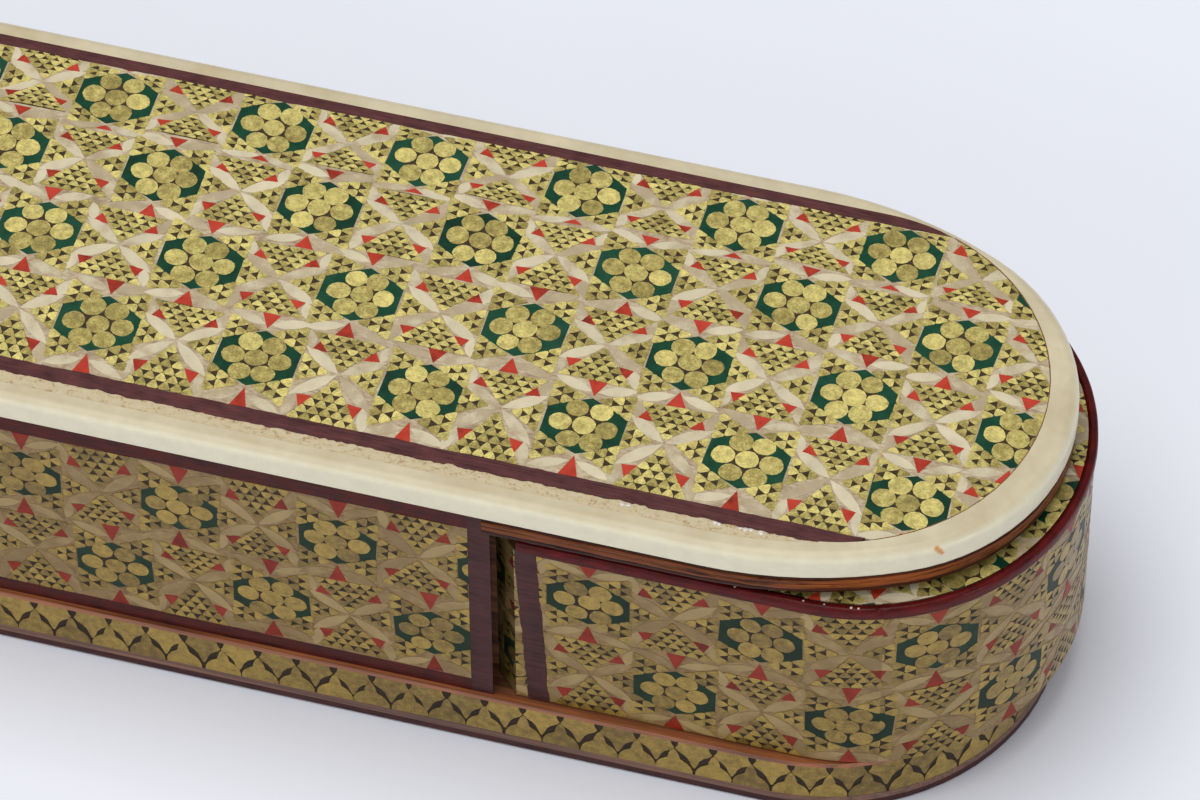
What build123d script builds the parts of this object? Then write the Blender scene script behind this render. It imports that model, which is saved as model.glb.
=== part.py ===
# Inlaid pen box with rounded ends. A sleeve (base, walls, closed end and lid) holds a drawer.
# The drawer is a long pen tray with a rounded head, and it pulls out along +X, between the
# lips of the lid and the base. It stands here as it was found, pulled out by a few millimetres.
# Millimetres, +Z up, X along the box, -Y the front. The origin is the middle of the underside.

from build123d import *
from math import asin, degrees
import os

# Overall sizes
box_length = 236.0          # lid, tip to tip
box_width = 52.4            # sleeve, over its side veneers
box_height = 43.5

# Lid. Its ends are drawn with three arcs, a little more pointed than those of the head and base.
lid_tip_tighter = 2.6       # tip arc's radius, under half the lid's width
lid_corner_wider = 22.9     # corner arcs' radius, over half the lid's width
bone_overhang = 0.2         # bone edging, past the side veneers
bone_height = 3.6           # bone edging, seen from the side
bone_width = 2.3            # bone edging along the sides, seen from above
bone_tip_width = 3.4        # bone edging at the tips, seen from above
bone_top_round = 1.2
bone_lower_round = 0.5
lid_board_edge = 2.4        # bare edge of the lid board under the bone
lid_board_setback = 0.25    # lid board edge, in from the bone
top_sheet = 1.3             # thickness of the inlaid sheet on the lid
sheet_joint_gap = 0.5       # from the end of the back line to the joint between two inlaid sheets
front_line_width = 2.0      # dark line along the front of the lid
back_line_width = 1.4       # dark line along the back of the lid
filler_width = 1.4          # speckled strip between the front line and the bone
filler_end = 23.0           # from the lid's tip to the end of that strip

# Walls
lip_length = 58.7           # lid and base, past the mouth of the sleeve
wall_board = 2.0
veneer = 0.9                # inlaid sheets and lines on the sides
side_line = 2.2             # dark lines along the top and bottom of each side
mouth_line = 2.5            # dark line up each side at the mouth

# Base
base_height = 8.4
base_stand_out = 0.5        # inlaid band, past the side veneers of the sleeve
base_setback = 0.4          # base tip, in from the lid's tip
band_depth = 1.0            # strips round the edge of the base
base_top_strip = 0.7
gold_band = 5.5
base_lower_strip = 1.0
base_bottom_line = 0.95

# Drawer
rest_pull = 2.7             # how far the drawer stands out in the photograph
tip_setback = 0.6           # head, in from the lid's tip, when shut
tray_side = 2.0
tray_floor = 2.5
tray_end = 3.0
tray_rim_drop = 1.5         # tray's rim, below the lid's underside
head_setback = 0.5          # head's side veneers, in from those of the sleeve
head_sheet = 1.1            # inlaid sheet on top of the head
head_line = 2.5             # dark line up each side of the head, next to the mouth
head_sheet_joint = 17.2     # from the head's tip to the joints between its side sheets
head_wall = 3.0             # board between the tray and the pocket
head_cheek = 6.5            # solid wood beside the pocket
head_solid = 21.4           # solid wood past the pocket, at the round end
bead_width = 1.15           # glossy bead round the top edge of the head
bead_height = 1.3
bead_stand_out = 0.3        # bead, past the side veneers
bead_round = 0.45

# Clearances
side_clearance = 0.35       # tray to sleeve wall
floor_clearance = 0.3       # drawer to base
bead_clearance = 0.9        # bead to lid
mitre_clearance = 0.35      # head to sleeve mouth when shut, along X
back_clearance = 0.5        # tray to closed end when shut

# Heights worked out from the sizes above
bone_under = box_height - bone_height
lid_under = bone_under - lid_board_edge
sheet_under = box_height - top_sheet
drawer_under = base_height + floor_clearance
tray_top = lid_under - tray_rim_drop
floor_top = drawer_under + tray_floor
bead_top = lid_under - bead_clearance
bead_under = bead_top - bead_height
band_low = base_height - base_top_strip - gold_band
strip_low = band_low - base_lower_strip
base_line_low = strip_low - base_bottom_line

# Places along X and across Y
panel_y = box_width / 2
lid_y = panel_y + bone_overhang
wall_y = panel_y - veneer
inside_y = wall_y - wall_board
field_back_y = lid_y - bone_width                # edges of the lid's inlaid field, lines included
field_front_y = filler_width - field_back_y
field_round = (field_back_y - field_front_y) / 2
base_y = panel_y + base_stand_out
tip_x = box_length / 2
field_tip_x = tip_x - bone_tip_width
field_round_x = field_tip_x - field_round        # centre of the field's round end
back_line_end_x = field_round_x + (field_round ** 2 - (field_round - back_line_width) ** 2) ** 0.5
filler_end_x = tip_x - filler_end
mouth_x = tip_x - lip_length                     # mouth of the sleeve, at its outer face
base_tip_x = tip_x - base_setback

# The lid's tip arc is centred on the middle line, and its corner arcs across from it
lid_tip_radius = lid_y - lid_tip_tighter
lid_corner_radius = lid_y + lid_corner_wider
between_centres = lid_tip_tighter + lid_corner_wider
corner_run = (between_centres ** 2 - lid_corner_wider ** 2) ** 0.5
corner_turn = degrees(asin(corner_run / between_centres))
side_end_x = tip_x - lid_tip_radius - corner_run   # where the straight sides end
block_run = ((wall_y + lid_corner_wider) ** 2 - (inside_y + lid_corner_wider) ** 2) ** 0.5
block_x = -side_end_x - block_run                # flat face of the closed end

# Places on the drawer
tray_y = inside_y - side_clearance
head_y = panel_y - head_setback
shoulder_shut_x = mouth_x - head_setback + mitre_clearance
shoulder_x = shoulder_shut_x + rest_pull
head_tip_x = tip_x - tip_setback + rest_pull
head_x = head_tip_x - head_y                     # centre of the head's round end
head_back_x = shoulder_x - (head_y - tray_y)     # where the tray meets the head
tray_end_x = block_x + back_clearance + rest_pull
pocket_x = head_back_x + head_wall
pocket_end_x = head_tip_x - veneer - head_solid
pocket_y = head_y - veneer - head_cheek
head_joint_x = head_tip_x - head_sheet_joint
bead_y = head_y + bead_stand_out - bead_width    # inner edge of the bead
far = box_length                                 # longer than anything that it cuts
UP = (0, 0, 1)


def save(name, piece):
    """Label a finished piece and write it to its own file."""
    piece.label = name
    export_step(piece, f"parts/{name}.step")


def keep_between(low_x, high_x, low_y=-far, high_y=far):
    """Keep only the part of the open sketch that lies inside this rectangle."""
    with Locations(((low_x + high_x) / 2, (low_y + high_y) / 2)):
        Rectangle(high_x - low_x, high_y - low_y, mode=Mode.INTERSECT)


def block(low, high):
    """A rectangular board between two opposite corners."""
    with BuildPart() as board:
        with Locations(tuple((a + b) / 2 for a, b in zip(low, high))):
            Box(*(b - a for a, b in zip(low, high)))
    return board.part


def prism(points, low, high):
    """A straight-sided board from its outline in plan."""
    with BuildPart() as board:
        with BuildSketch(Plane.XY.offset(low)):
            with BuildLine():
                Polyline(*points, close=True)
            make_face()
        extrude(amount=high - low, dir=UP)
    return board.part


def lid_outline(inset, mode=Mode.ADD):
    """The lid in plan, this far in from its outer edge: straight sides, and three arcs at each end."""
    half = lid_y - inset
    corner = lid_corner_radius - inset
    with BuildLine() as outline:
        Line((0, half), (side_end_x, half))
        near = JernArc((side_end_x, half), (1, 0), corner, -corner_turn)
        tip = JernArc(near @ 1, near % 1, lid_tip_radius - inset, -2 * (90 - corner_turn))
        JernArc(tip @ 1, tip % 1, corner, -corner_turn)
        Line((side_end_x, -half), (0, -half))
        mirror(about=Plane.YZ)
    make_face(outline.edges(), mode=mode)


# Lid

def lid_board():
    """Board with a rebate for the bone. It is wider past the mouth, where no side panel covers it."""
    with BuildPart() as board:
        with BuildSketch(Plane.XY.offset(lid_under)):
            lid_outline(lid_board_setback)
            keep_between(mouth_x, far)
            lid_outline(lid_y - wall_y)
        extrude(amount=bone_under - lid_under, dir=UP)
        with BuildSketch(Plane.XY.offset(bone_under)):
            field_outline()
        extrude(amount=sheet_under - bone_under, dir=UP)
    return board.part


def field_outline(mode=Mode.ADD):
    """The inlaid field in plan. It lies a little to the back, and its ends are half circles."""
    with Locations((0, (field_back_y + field_front_y) / 2)):
        SlotOverall(2 * field_tip_x, field_back_y - field_front_y, mode=mode)


def filler_outline():
    """Speckled strip in plan: what the bone leaves open beside the front of the field."""
    lid_outline(bone_width)
    keep_between(-filler_end_x, filler_end_x, -far, 0)
    field_outline(mode=Mode.SUBTRACT)


def bone_edging():
    """Ring of bone round the lid, with rounded outer edges and a bay for the speckled strip."""
    with BuildPart() as ring:
        with BuildSketch(Plane.XY.offset(bone_under)):
            lid_outline(0)
        extrude(amount=bone_height, dir=UP)
        fillet(ring.faces().sort_by(Axis.Z)[-1].edges(), bone_top_round)
        fillet(ring.faces().sort_by(Axis.Z)[0].edges(), bone_lower_round)
        with BuildSketch(Plane.XY.offset(bone_under)):
            field_outline()
        extrude(amount=bone_height, dir=UP, mode=Mode.SUBTRACT)
        with BuildSketch(Plane.XY.offset(bone_under)):
            filler_outline()
        extrude(amount=bone_height, dir=UP, mode=Mode.SUBTRACT)
    return ring.part


def front_filler():
    with BuildPart() as strip:
        with BuildSketch(Plane.XY.offset(bone_under)):
            filler_outline()
        extrude(amount=bone_height, dir=UP)
    return strip.part


def top_piece(low_x, high_x, low_y, high_y):
    """A piece of the inlaid field inside the bone, cut to a rectangle in plan."""
    with BuildPart() as sheet:
        with BuildSketch(Plane.XY.offset(sheet_under)):
            field_outline()
            keep_between(low_x, high_x, low_y, high_y)
        extrude(amount=top_sheet, dir=UP)
    return sheet.part


# Sleeve

def side_wall(side):
    """Side board. Its far end follows the rounded end, and its mouth is mitred."""
    with BuildPart() as wall:
        with BuildSketch(Plane.XY.offset(base_height)):
            lid_outline(lid_y - wall_y)
            keep_between(-far, mouth_x, min(side * inside_y, side * far), max(side * inside_y, side * far))
            with BuildLine() as mitre:
                Polyline(
                    (mouth_x, side * panel_y),
                    (mouth_x - (panel_y - inside_y), side * inside_y),
                    (mouth_x, side * inside_y),
                    close=True,
                )
            make_face(mitre.edges(), mode=Mode.SUBTRACT)
        extrude(amount=lid_under - base_height, dir=UP)
    return wall.part


def closed_end():
    """Solid block that fills the rounded end behind the tray."""
    with BuildPart() as end:
        with BuildSketch(Plane.XY.offset(base_height)):
            lid_outline(lid_y - wall_y)
            keep_between(-far, block_x)
        extrude(amount=lid_under - base_height, dir=UP)
    return end.part


def side_panel(side, low_x, high_x, low, high):
    """Flat veneer piece on one side of the sleeve."""
    near = min(side * wall_y, side * panel_y)
    away = max(side * wall_y, side * panel_y)
    return block((low_x, near, low), (high_x, away, high))


def mouth_strip(side):
    """Dark line at the mouth, mitred like the wall behind it."""
    points = [
        (mouth_x - mouth_line, side * panel_y),
        (mouth_x, side * panel_y),
        (mouth_x - veneer, side * wall_y),
        (mouth_x - mouth_line, side * wall_y),
    ]
    return prism(points, base_height, bone_under)


def end_veneer(low, high):
    """Veneer bent round the closed end."""
    with BuildPart() as bend:
        with BuildSketch(Plane.XY.offset(low)):
            lid_outline(bone_overhang)
            lid_outline(lid_y - wall_y, mode=Mode.SUBTRACT)
            keep_between(-far, -side_end_x)
        extrude(amount=high - low, dir=UP)
    return bend.part


# Base

def base_board():
    with BuildPart() as board:
        with BuildSketch():
            SlotOverall(2 * (base_tip_x - band_depth), 2 * (base_y - band_depth))
        extrude(amount=base_height)
    return board.part


def base_strip(low, high):
    """One strip of the edging that runs all round the base."""
    with BuildPart() as strip:
        with BuildSketch(Plane.XY.offset(low)):
            SlotOverall(2 * base_tip_x, 2 * base_y)
            SlotOverall(2 * (base_tip_x - band_depth), 2 * (base_y - band_depth), mode=Mode.SUBTRACT)
        extrude(amount=high - low)
    return strip.part


# Drawer

def head_outline(inset, mode=Mode.ADD):
    """The head in plan, this far in from its outer face. The shoulders are mitred at 45 degrees."""
    half = head_y - inset
    slant = inset * 2 ** 0.5
    low_x = head_back_x + slant
    high_x = shoulder_x - inset + slant
    with BuildLine() as outline:
        Polyline((low_x, -tray_y), (high_x, -half), (head_x, -half))
        ThreePointArc((head_x, -half), (head_x + half, 0), (head_x, half))
        Polyline((head_x, half), (high_x, half), (low_x, tray_y))
        if inset > 0:
            Polyline((low_x, tray_y), (head_back_x, tray_y), (head_back_x, -tray_y), (low_x, -tray_y))
        else:
            Line((low_x, tray_y), (low_x, -tray_y))
    make_face(outline.edges(), mode=mode)


def head_slice(low, high, low_x, high_x, low_y=-far, high_y=far):
    """Part of the head's wooden core, cut to a rectangle in plan."""
    with BuildPart() as core:
        with BuildSketch(Plane.XY.offset(low)):
            head_outline(veneer)
            keep_between(low_x, high_x, low_y, high_y)
        extrude(amount=high - low, dir=UP)
    return core.part


def head_veneer(low_x, high_x, low_y=-far, high_y=far):
    """Veneer on the head's sides, cut to a rectangle in plan."""
    with BuildPart() as skin:
        with BuildSketch(Plane.XY.offset(drawer_under)):
            head_outline(0)
            head_outline(veneer, mode=Mode.SUBTRACT)
            keep_between(low_x, high_x, low_y, high_y)
        extrude(amount=bead_under - drawer_under, dir=UP)
    return skin.part


def mitre_points(side):
    """Corners of the sloping veneer on one shoulder, from the tray outwards."""
    slant = veneer * 2 ** 0.5
    return [
        (head_back_x, side * tray_y),
        (shoulder_x, side * head_y),
        (shoulder_x - veneer + slant, side * (head_y - veneer)),
        (head_back_x + slant, side * tray_y),
    ]


def head_line_strip(side):
    """Dark line up one side of the head, next to the shoulder."""
    slant = veneer * 2 ** 0.5
    points = [
        (shoulder_x, side * head_y),
        (shoulder_x + head_line, side * head_y),
        (shoulder_x + head_line, side * (head_y - veneer)),
        (shoulder_x - veneer + slant, side * (head_y - veneer)),
    ]
    return prism(points, drawer_under, bead_under)


def head_top_sheet():
    """Inlaid sheet on top of the head, inside the bead and round the pocket."""
    with BuildPart() as sheet:
        with BuildSketch(Plane.XY.offset(bead_under)):
            head_outline(head_y - bead_y)
            with Locations(((pocket_x + pocket_end_x) / 2, 0)):
                Rectangle(pocket_end_x - pocket_x, 2 * pocket_y, mode=Mode.SUBTRACT)
        extrude(amount=head_sheet, dir=UP)
    return sheet.part


def head_bead():
    """Rounded bead along both sides and round the end of the head."""
    line_y = bead_y + bead_width / 2
    start_x = shoulder_x + bead_stand_out        # keeps it as clear of the mouth as the shoulder is
    with BuildPart() as bead:
        with BuildLine():
            start = Line((start_x, -line_y, bead_under), (head_x, -line_y, bead_under))
            ThreePointArc(
                (head_x, -line_y, bead_under),
                (head_x + line_y, 0, bead_under),
                (head_x, line_y, bead_under),
            )
            Line((head_x, line_y, bead_under), (start_x, line_y, bead_under))
        with BuildSketch(Plane(start @ 0, x_dir=(0, 1, 0), z_dir=(1, 0, 0))) as section:
            Rectangle(bead_width, bead_height, align=(Align.CENTER, Align.MIN))
            fillet(section.vertices().group_by(Axis.Z)[-1], bead_round)
        sweep()
    return bead.part


# Lid pieces
save("lid_board", lid_board())
save("bone_edging", bone_edging())
save("lid_front_filler", front_filler())
front_line_y = field_front_y + front_line_width
back_line_y = field_back_y - back_line_width
joint_x = back_line_end_x - sheet_joint_gap
save("lid_front_line", top_piece(-far, far, -far, front_line_y))
save("lid_back_line", top_piece(-far, far, back_line_y, far))
save("lid_inlay_middle", top_piece(-joint_x, joint_x, front_line_y, back_line_y))
save("lid_inlay_mouth_end", top_piece(joint_x, far, front_line_y, back_line_y))
save("lid_inlay_closed_end", top_piece(-far, -joint_x, front_line_y, back_line_y))

# Sleeve pieces
save("closed_end_block", closed_end())
save("closed_end_inlay", end_veneer(base_height + side_line, bone_under - side_line))
save("closed_end_top_line", end_veneer(bone_under - side_line, bone_under))
save("closed_end_bottom_line", end_veneer(base_height, base_height + side_line))
panel_end_x = mouth_x - mouth_line
for word, side in (("front", -1), ("back", 1)):
    save(f"{word}_wall", side_wall(side))
    save(f"{word}_mouth_line", mouth_strip(side))
    ends = (-side_end_x, panel_end_x)
    save(f"{word}_top_line", side_panel(side, *ends, bone_under - side_line, bone_under))
    save(f"{word}_inlay", side_panel(side, *ends, base_height + side_line, bone_under - side_line))
    save(f"{word}_bottom_line", side_panel(side, *ends, base_height, base_height + side_line))

# Base pieces, from the top strip down
save("base_board", base_board())
save("base_top_strip", base_strip(band_low + gold_band, base_height))
save("base_gold_band", base_strip(band_low, band_low + gold_band))
save("base_lower_strip", base_strip(strip_low, band_low))
save("base_bottom_line", base_strip(base_line_low, strip_low))

# Tray of the drawer
save("tray_floor", block((tray_end_x, -tray_y, drawer_under), (head_back_x, tray_y, floor_top)))
inner_y = tray_y - tray_side
save("tray_front_side", block((tray_end_x, -tray_y, floor_top), (head_back_x, -inner_y, tray_top)))
save("tray_back_side", block((tray_end_x, inner_y, floor_top), (head_back_x, tray_y, tray_top)))
save("tray_end_board", block((tray_end_x, -inner_y, floor_top), (tray_end_x + tray_end, inner_y, tray_top)))

# Head of the drawer
save("head_floor", head_slice(drawer_under, floor_top, -far, far))
save("head_inner_wall", head_slice(floor_top, bead_under, -far, pocket_x, -pocket_y, pocket_y))
save("head_front_cheek", head_slice(floor_top, bead_under, -far, pocket_end_x, -far, -pocket_y))
save("head_back_cheek", head_slice(floor_top, bead_under, -far, pocket_end_x, pocket_y, far))
save("head_round_end", head_slice(floor_top, bead_under, pocket_end_x, far))
save("head_top_inlay", head_top_sheet())
save("head_bead", head_bead())
line_end_x = shoulder_x + head_line
save("head_front_inlay", head_veneer(line_end_x, head_joint_x, -far, 0))
save("head_back_inlay", head_veneer(line_end_x, head_joint_x, 0, far))
save("head_end_inlay", head_veneer(head_joint_x, far))
for word, side in (("front", -1), ("back", 1)):
    save(f"head_{word}_line", head_line_strip(side))
    save(f"head_{word}_mitre_inlay", prism(mitre_points(side), drawer_under, bead_under))

print("bare edges: base line stands", round(base_line_low, 2), "above the surface")
print("drawer slides from", -rest_pull, "to", round(mouth_x - panel_y + inside_y - tray_end_x, 1))
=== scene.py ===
"""Looks of the inlaid pen box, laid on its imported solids.

Sizes are in metres, +Z up, with -Y the front, and every piece lies where its solid lies.
The inlay is made of real small chips: brass discs and triangles, dyed green and red wood,
and leaves of bone, set on a thin sheet. Outlines are worked out in millimetres.
"""

from bisect import bisect_right
from math import asin, ceil, cos, floor, pi, radians, sin
from random import Random
from typing import NamedTuple

import bpy
from mathutils import Matrix, Vector, noise
from mathutils.geometry import convex_hull_2d


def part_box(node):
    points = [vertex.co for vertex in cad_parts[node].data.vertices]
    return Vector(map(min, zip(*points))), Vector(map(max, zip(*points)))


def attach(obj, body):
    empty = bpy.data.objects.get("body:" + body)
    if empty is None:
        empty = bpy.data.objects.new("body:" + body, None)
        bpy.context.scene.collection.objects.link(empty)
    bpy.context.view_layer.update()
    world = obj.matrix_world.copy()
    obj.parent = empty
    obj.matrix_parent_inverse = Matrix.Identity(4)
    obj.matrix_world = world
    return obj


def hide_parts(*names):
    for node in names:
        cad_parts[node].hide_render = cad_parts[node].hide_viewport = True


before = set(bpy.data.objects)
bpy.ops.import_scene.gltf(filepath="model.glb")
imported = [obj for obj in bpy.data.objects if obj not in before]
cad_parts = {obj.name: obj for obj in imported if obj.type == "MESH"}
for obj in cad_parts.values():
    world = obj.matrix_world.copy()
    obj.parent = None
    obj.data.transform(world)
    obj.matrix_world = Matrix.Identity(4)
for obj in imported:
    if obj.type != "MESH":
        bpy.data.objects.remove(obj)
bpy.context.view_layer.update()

bl_info = {
    "name": "Inlaid pen box",
    "version": (1, 0, 0),
    "blender": (4, 5, 0),
    "location": "3D View > Sidebar > Pen box",
    "description": "Lays the inlay, edgings, wood and stage of an inlaid pen box on its solids",
    "category": "Object",
}

MM = 0.001


def shade(red, green, blue):
    """A colour picked on screen, 0 to 255, as the linear colour that Blender keeps."""
    parts = [value / 255 for value in (red, green, blue)]
    return tuple(p / 12.92 if p < 0.04045 else ((p + 0.055) / 1.055) ** 2.4 for p in parts)


def colour(name, description, *screen):
    return bpy.props.FloatVectorProperty(
        name=name, description=description, default=shade(*screen), subtype="COLOR", size=3, min=0.0, max=1.0
    )


def number(name, description, default, **details):
    return bpy.props.FloatProperty(name=name, description=description, default=default, **details)


def length(name, description, millimetres):
    return number(name, description, millimetres * MM, min=0.0, unit="LENGTH", precision=5)


def angle(name, description, degrees):
    return number(name, description, radians(degrees), subtype="ANGLE")


def power(name, description, watts):
    return number(name, description, watts, min=0.0, unit="POWER")


class InlaySettings(bpy.types.PropertyGroup):
    """Sizes and colours of the inlaid sheets."""

    disc_width: length("Disc width", "Width of one brass disc in a flower", 2.64)
    disc_spacing: length("Disc spacing", "Distance between two discs of a flower", 2.62)
    sheet_drop: length("Sheet drop", "How far the sheet lies under the chips on the lid", 0.07)
    wander: length("Wander", "How far the pattern strays from a straight grid", 0.34)
    chip_gap: number(
        "Gap between triangles",
        "Share of a small triangle's reach that is left open between it and the next",
        0.05, min=0.0, max=0.6, subtype="FACTOR",
    )
    brass: colour("Brass", "Discs and triangles", 201, 186, 110)
    brass_dull: colour("Dull brass", "The duller discs and triangles", 176, 158, 86)
    green: colour("Green", "Dyed wood round the flowers", 6, 62, 40)
    red: colour("Red", "Dyed wood triangles", 176, 54, 34)
    bone: colour("Bone", "Leaves of bone", 201, 189, 159)
    bone_warm: colour("Warm bone", "The warmer and darker leaves", 179, 161, 129)
    joint: colour("Joint", "Brown glue between the triangles", 60, 47, 28)
    glue: colour("Glue line", "Thin line of glue between the field's round ends and the bone", 122, 86, 56)
    sheet: colour("Sheet", "Ground that shows between the leaves", 170, 148, 118)
    # The sides' chips take this tint: yellowed varnish, and also painted shade that makes the upright sides
    # darker than the lid
    varnish: colour("Old varnish", "Yellowed varnish on the sides, over the chips", 190, 170, 128)


class EdgingSettings(bpy.types.PropertyGroup):
    """Sizes and colours of the edgings, lines and bead."""

    line_wander: length("Line wander", "How far a dark line's edges stray", 0.16)
    bone: colour("Bone edging", "Edging round the lid", 198, 186, 155)
    # Painted light: the outer face is painted paler so that it looks as brightly lit as the top
    bone_face_painted_light: colour("Bone face", "Outer face of the edging, which is paler", 217, 210, 184)
    bone_shadow: colour("Bone clouds", "Warmer clouds in the edging", 188, 171, 134)
    lid_line: colour("Lid line", "Dyed strips beside the inlay of the lid", 88, 50, 49)
    lid_line_deep: colour("Lid line's grain", "Grain in those strips", 64, 34, 36)
    side_line: colour("Side line", "Dyed strips on the sides", 74, 25, 20)
    side_line_deep: colour("Side line's grain", "Grain in those strips", 46, 16, 13)
    filler: colour("Filler", "Speckled strip inside the bone", 197, 178, 138)
    filler_dark: colour("Filler specks", "Dark specks in that strip", 148, 114, 72)
    bead: colour("Bead", "Glossy bead round the head", 86, 14, 14)


class WoodSettings(bpy.types.PropertyGroup):
    """Colours of the bare wood."""

    light: colour("Light grain", "Light grain of the bare wood", 136, 84, 48)
    dark: colour("Dark grain", "Dark grain of the bare wood", 84, 47, 25)
    edge_light: colour("Light edge", "Light layers of the lid board's edge", 110, 56, 21)
    edge_dark: colour("Dark edge", "Dark layers of the lid board's edge", 55, 23, 9)
    # Painted shade: the sleeve's walls are painted nearly black so that the mouth's gap reads as shade
    wall_shade_light: colour(
        "Light stain", "Light grain of the sleeve's walls, which show at its mouth", 46, 24, 14
    )
    wall_shade_dark: colour("Dark stain", "Dark grain of those walls", 25, 13, 8)
    ledge_light: colour("Light ledge", "Light grain of the strip along the top of the base", 156, 90, 48)
    ledge_dark: colour("Dark ledge", "Dark grain of that strip", 116, 62, 30)
    rose_light: colour("Light lower strip", "Light grain of the strip under the brass band", 124, 82, 58)
    rose_dark: colour("Dark lower strip", "Dark grain of that strip", 90, 54, 40)


class StageSettings(bpy.types.PropertyGroup):
    """Camera, floor and light."""

    floor: colour("Floor", "Floor and backdrop", 238, 241, 250)
    lens: number("Lens", "Focal length for a sensor 36 mm wide", 226.37, min=1.0, unit="CAMERA")
    azimuth: angle("Azimuth", "How far the camera stands round from the front", 15.49)
    elevation: angle("Elevation", "How far the camera looks down", 51.25)
    roll: angle("Roll", "How far the camera is turned about its own line of sight", -0.38)
    place: bpy.props.FloatVectorProperty(
        name="Camera place",
        description="Where the camera stands",
        default=(204.57 * MM, -505.09 * MM, 684.02 * MM),
        subtype="TRANSLATION",
        unit="LENGTH",
    )
    sky: number("Light from all round", "Strength of the even light from all round", 0.43, min=0.0)
    lamp: power("Overhead lamp", "Power of the soft lamp overhead", 14.7)
    front_lamp: power("Front lamp", "Power of the soft lamp in front, which lights the upright sides", 4.8)
    side_lamp: power("Side lamp", "Power of the small lamp low on the right, which makes the glints", 1.6)


# Materials

class Finish:
    """One material. Its nodes read the piece's own place, in millimetres."""

    def __init__(self, name, roughness, coat=0.0, coat_roughness=0.15, metallic=0.0, specular=0.5):
        self.material = bpy.data.materials.new(name)
        self.material.use_nodes = True
        self.nodes = self.material.node_tree.nodes
        self.links = self.material.node_tree.links
        self.shader = self.nodes["Principled BSDF"]
        for socket, value in (
            ("Roughness", roughness), ("Coat Weight", coat), ("Coat Roughness", coat_roughness),
            ("Metallic", metallic), ("Specular IOR Level", specular),
        ):
            self.shader.inputs[socket].default_value = value
        self.place = self.add("ShaderNodeTexCoord").outputs["Object"]

    def add(self, kind, inputs=None, **settings):
        node = self.nodes.new(kind)
        for name, value in settings.items():
            setattr(node, name, value)
        for name, value in (inputs or {}).items():
            self.fill(node.inputs[name], value)
        return node

    def fill(self, socket, value):
        """Links a socket to another, or gives it a value."""
        if isinstance(value, bpy.types.NodeSocket):
            self.links.new(value, socket)
        else:
            socket.default_value = value

    def stretched(self, *sizes):
        """The piece's place, stretched so that one unit is this many millimetres each way."""
        scale = [1 / (size * MM) for size in sizes]
        return self.add("ShaderNodeMapping", {"Vector": self.place, "Scale": scale}).outputs["Vector"]

    def cloud(self, x, y=None, z=None, detail=3.0, uneven=0.55, twist=0.0):
        """Soft cloudy noise with lumps of this size in millimetres."""
        return self.add("ShaderNodeTexNoise", {
            "Vector": self.stretched(x, y or x, z or x),
            "Scale": 1.0,
            "Detail": detail,
            "Roughness": uneven,
            "Distortion": twist,
        }).outputs["Fac"]

    def crumbs(self, size):
        """A different value for each small crumb of this size in millimetres."""
        where = self.stretched(size, size, size)
        cells = self.add("ShaderNodeTexVoronoi", {"Vector": where, "Scale": 1.0})
        return self.add("ShaderNodeSeparateColor", {"Color": cells.outputs["Color"]}).outputs["Red"]

    def spot(self, x, y, z, size):
        """1 in the middle of a round spot at this place in millimetres, and 0 outside it."""
        middle = (x * MM, y * MM, z * MM)
        away = self.add("ShaderNodeVectorMath", {0: self.place, 1: middle}, operation="DISTANCE")
        return self.band(away.outputs["Value"], 0.3 * size * MM, size * MM, 1.0, 0.0)

    def height(self):
        """The height above the underside of the box."""
        return self.add("ShaderNodeSeparateXYZ", {"Vector": self.place}).outputs["Z"]

    def tone(self):
        """The chip's own value, from 0 to 1."""
        return self.add("ShaderNodeAttribute", attribute_name="tone").outputs["Fac"]

    def sum(self, first, *others):
        """The first factor, with share * (other - 0.5) added for each (other, share)."""
        for other, share in others:
            terms = {0: other, 1: share, 2: -0.5 * share}
            part = self.add("ShaderNodeMath", terms, operation="MULTIPLY_ADD")
            first = self.add("ShaderNodeMath", {0: first, 1: part.outputs[0]}, operation="ADD").outputs[0]
        return first

    def shades(self, factor, *stops):
        """Colours between these (place, colour) stops, picked by the factor."""
        ramp = self.add("ShaderNodeValToRGB", {"Fac": factor})
        points = ramp.color_ramp.elements
        while len(points) < len(stops):
            points.new(0.5)
        for point, (place, tint) in zip(points, stops):
            point.position = place
            point.color = (*tint, 1.0)
        return ramp.outputs["Color"]

    def between(self, factor, first, second):
        """Mixes two colours, each a socket or a plain colour."""
        node = self.add("ShaderNodeMix", {"Factor": factor}, data_type="RGBA")
        ends = [s for s in node.inputs if s.type == "RGBA"]
        for socket, value in zip(ends, (first, second)):
            self.fill(socket, value if isinstance(value, bpy.types.NodeSocket) else (*value, 1.0))
        return next(s for s in node.outputs if s.type == "RGBA")

    def band(self, factor, low, high, new_low, new_high):
        """The factor, moved from one range to another and held inside it."""
        return self.add("ShaderNodeMapRange", {
            "Value": factor,
            "From Min": low,
            "From Max": high,
            "To Min": new_low,
            "To Max": new_high,
        }).outputs["Result"]

    def spread(self, cloud, new_low, new_high):
        """The middle of a cloud's range, spread over a new range."""
        return self.band(cloud, 0.3, 0.7, new_low, new_high)

    def finish(self, tint, roughness=None, height=None, depth=0.05, strength=0.5):
        """Joins colour, roughness and relief to the shader. depth is in millimetres."""
        self.links.new(tint, self.shader.inputs["Base Color"])
        if roughness is not None:
            self.links.new(roughness, self.shader.inputs["Roughness"])
        if height is not None:
            relief = {"Height": height, "Distance": depth * MM, "Strength": strength}
            bump = self.add("ShaderNodeBump", relief)
            self.links.new(bump.outputs["Normal"], self.shader.inputs["Normal"])
        return self.material


def times(tint, share):
    """The tint made darker, or brighter where the share is over 1."""
    return tuple(part * share for part in tint)


def lighter(tint):
    return tuple(min(1.0, 0.01 + part * 1.2) for part in tint)


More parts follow.
